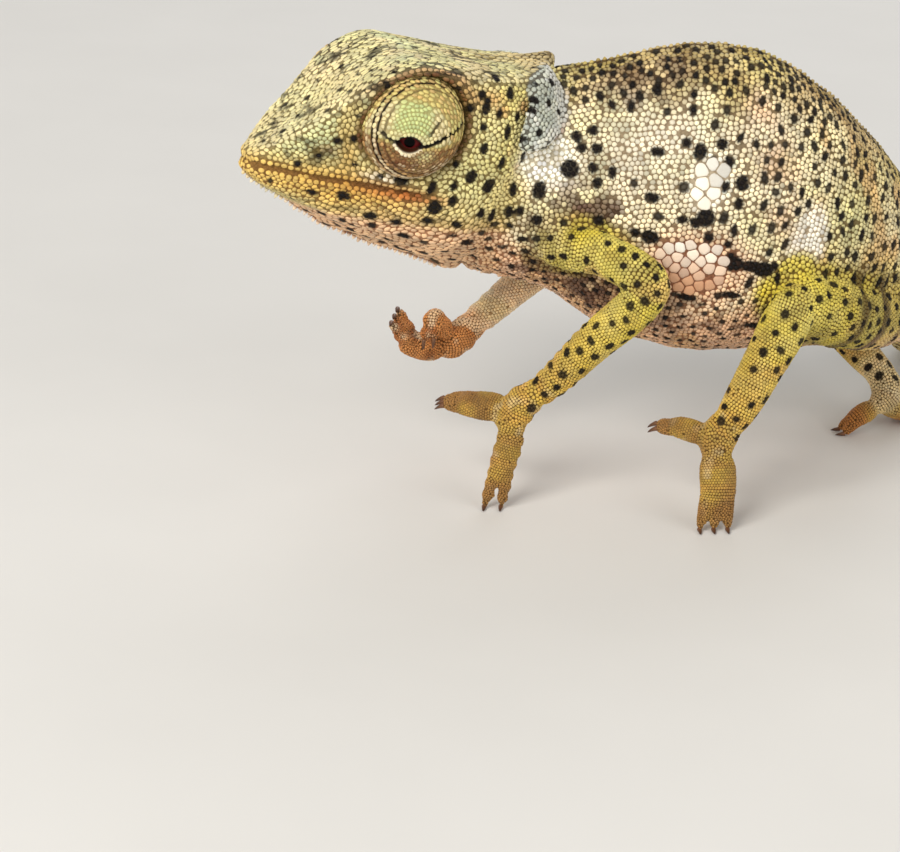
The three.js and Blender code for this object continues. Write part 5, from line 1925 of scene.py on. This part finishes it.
def makeClaws():
    # each claw is a round horn along a curve that droops by hook * share^2, thinning to a point
    parts, lifts = [], []
    for limb in limbs.values():
        for end, way in limb["claws"]:
            length = clawSizes["length"]
            start = end - way * 0.15
            droop = -unit(up - way * (up @ way))
            rows = []
            for share in np.linspace(0, 1, 6):
                place = start + way * length * share + droop * clawSizes["hook"] * share ** 2 * (start[2] > 1)
                rows.append((*place, clawSizes["radius"] * (1 - share) ** 0.7 + 0.02))
            surface = roundLoft(makePath(rows, (0.1, 0.2, 1.0), roundness=30))
            points, faceSets = ballMesh(surface, clawSizes["rings"], clawSizes["sides"])
            points[:, 2] = np.maximum(points[:, 2], 0.01)
            parts.append((points, faceSets))
            lifts.append(np.clip((points - start) @ way / length, 0, 1))
    points, faceSets = joinParts(parts)
    mesh = makeMesh("claws", toFrame(points), faceSets)
    setNumbers(mesh, "lift", np.concatenate(lifts))
    addPiece("claws", mesh, clawFinish(), "claw")


makeClaws()

# floor, light and camera

floorMaterial = Finish("floor")
floorGrain = floorMaterial.noise(60, 2)
floorMaterial.shade({"Base Color": floorMaterial.mix(floorGrain, (0.72, 0.71, 0.69), (0.76, 0.75, 0.73)),
                     "Roughness": 0.85})
floorMesh = makeMesh("floor", [(-2, -2, 0), (2, -2, 0), (2, 2, 0), (-2, 2, 0)], [np.array([[0, 1, 2, 3]])])
floorMesh.materials.append(floorMaterial.material)
floor = addObject("floor", floorMesh)

lightSettings = {
    "key": {"place": (-0.3, -0.48, 0.4), "size": 0.3, "power": 3.3, "shade": (1.0, 0.96, 0.89)},
    "fill": {"place": (0.45, -0.4, 0.25), "size": 0.5, "power": 1.1, "shade": (1.0, 0.98, 0.95)},
    "rim": {"place": (0.1, 0.5, 0.4), "size": 0.4, "power": 1.0, "shade": (1.0, 1.0, 1.0)},
}
for name, settings in lightSettings.items():
    lamp = bpy.data.lights.new(name, "AREA")
    lamp.size = settings["size"]
    lamp.energy = settings["power"]
    lamp.color = settings["shade"]
    holder = bpy.data.objects.new(name, lamp)
    holder.location = settings["place"]
    aim = Vector((0, 0, 0.02)) - Vector(settings["place"])
    holder.rotation_euler = aim.to_track_quat("-Z", "Y").to_euler()
    scene.collection.objects.link(holder)
world = bpy.data.worlds.new("studio")
world.use_nodes = True
world.node_tree.nodes["Background"].inputs[0].default_value = (1.0, 0.99, 0.97, 1)
world.node_tree.nodes["Background"].inputs[1].default_value = 0.44
scene.world = world
scene.view_settings.view_transform = "Standard"

cameraSettings = {"place": (-12, -259.611, 108.45), "down": math.radians(22), "roll": math.radians(4),
                  "lens": 115.5, "sensor": 36, "near": 0.01, "far": 10}
camera = bpy.data.objects.new("camera", bpy.data.cameras.new("camera"))
scene.collection.objects.link(camera)
camera.data.lens = cameraSettings["lens"]
camera.data.sensor_width = cameraSettings["sensor"]
camera.data.clip_start, camera.data.clip_end = cameraSettings["near"], cameraSettings["far"]
down, roll = cameraSettings["down"], cameraSettings["roll"]
ahead = np.array([0, math.cos(down), -math.sin(down)])
level = np.array([1, 0, 0])
upright = np.array([0, math.sin(down), math.cos(down)])
right = math.cos(roll) * level + math.sin(roll) * upright
top = math.cos(roll) * upright - math.sin(roll) * level
turned = Matrix((right, top, -ahead)).transposed()
camera.matrix_world = Matrix.Translation(toFrame(cameraSettings["place"])) @ turned.to_4x4()
scene.camera = camera

print("pieces placed", flush=True)
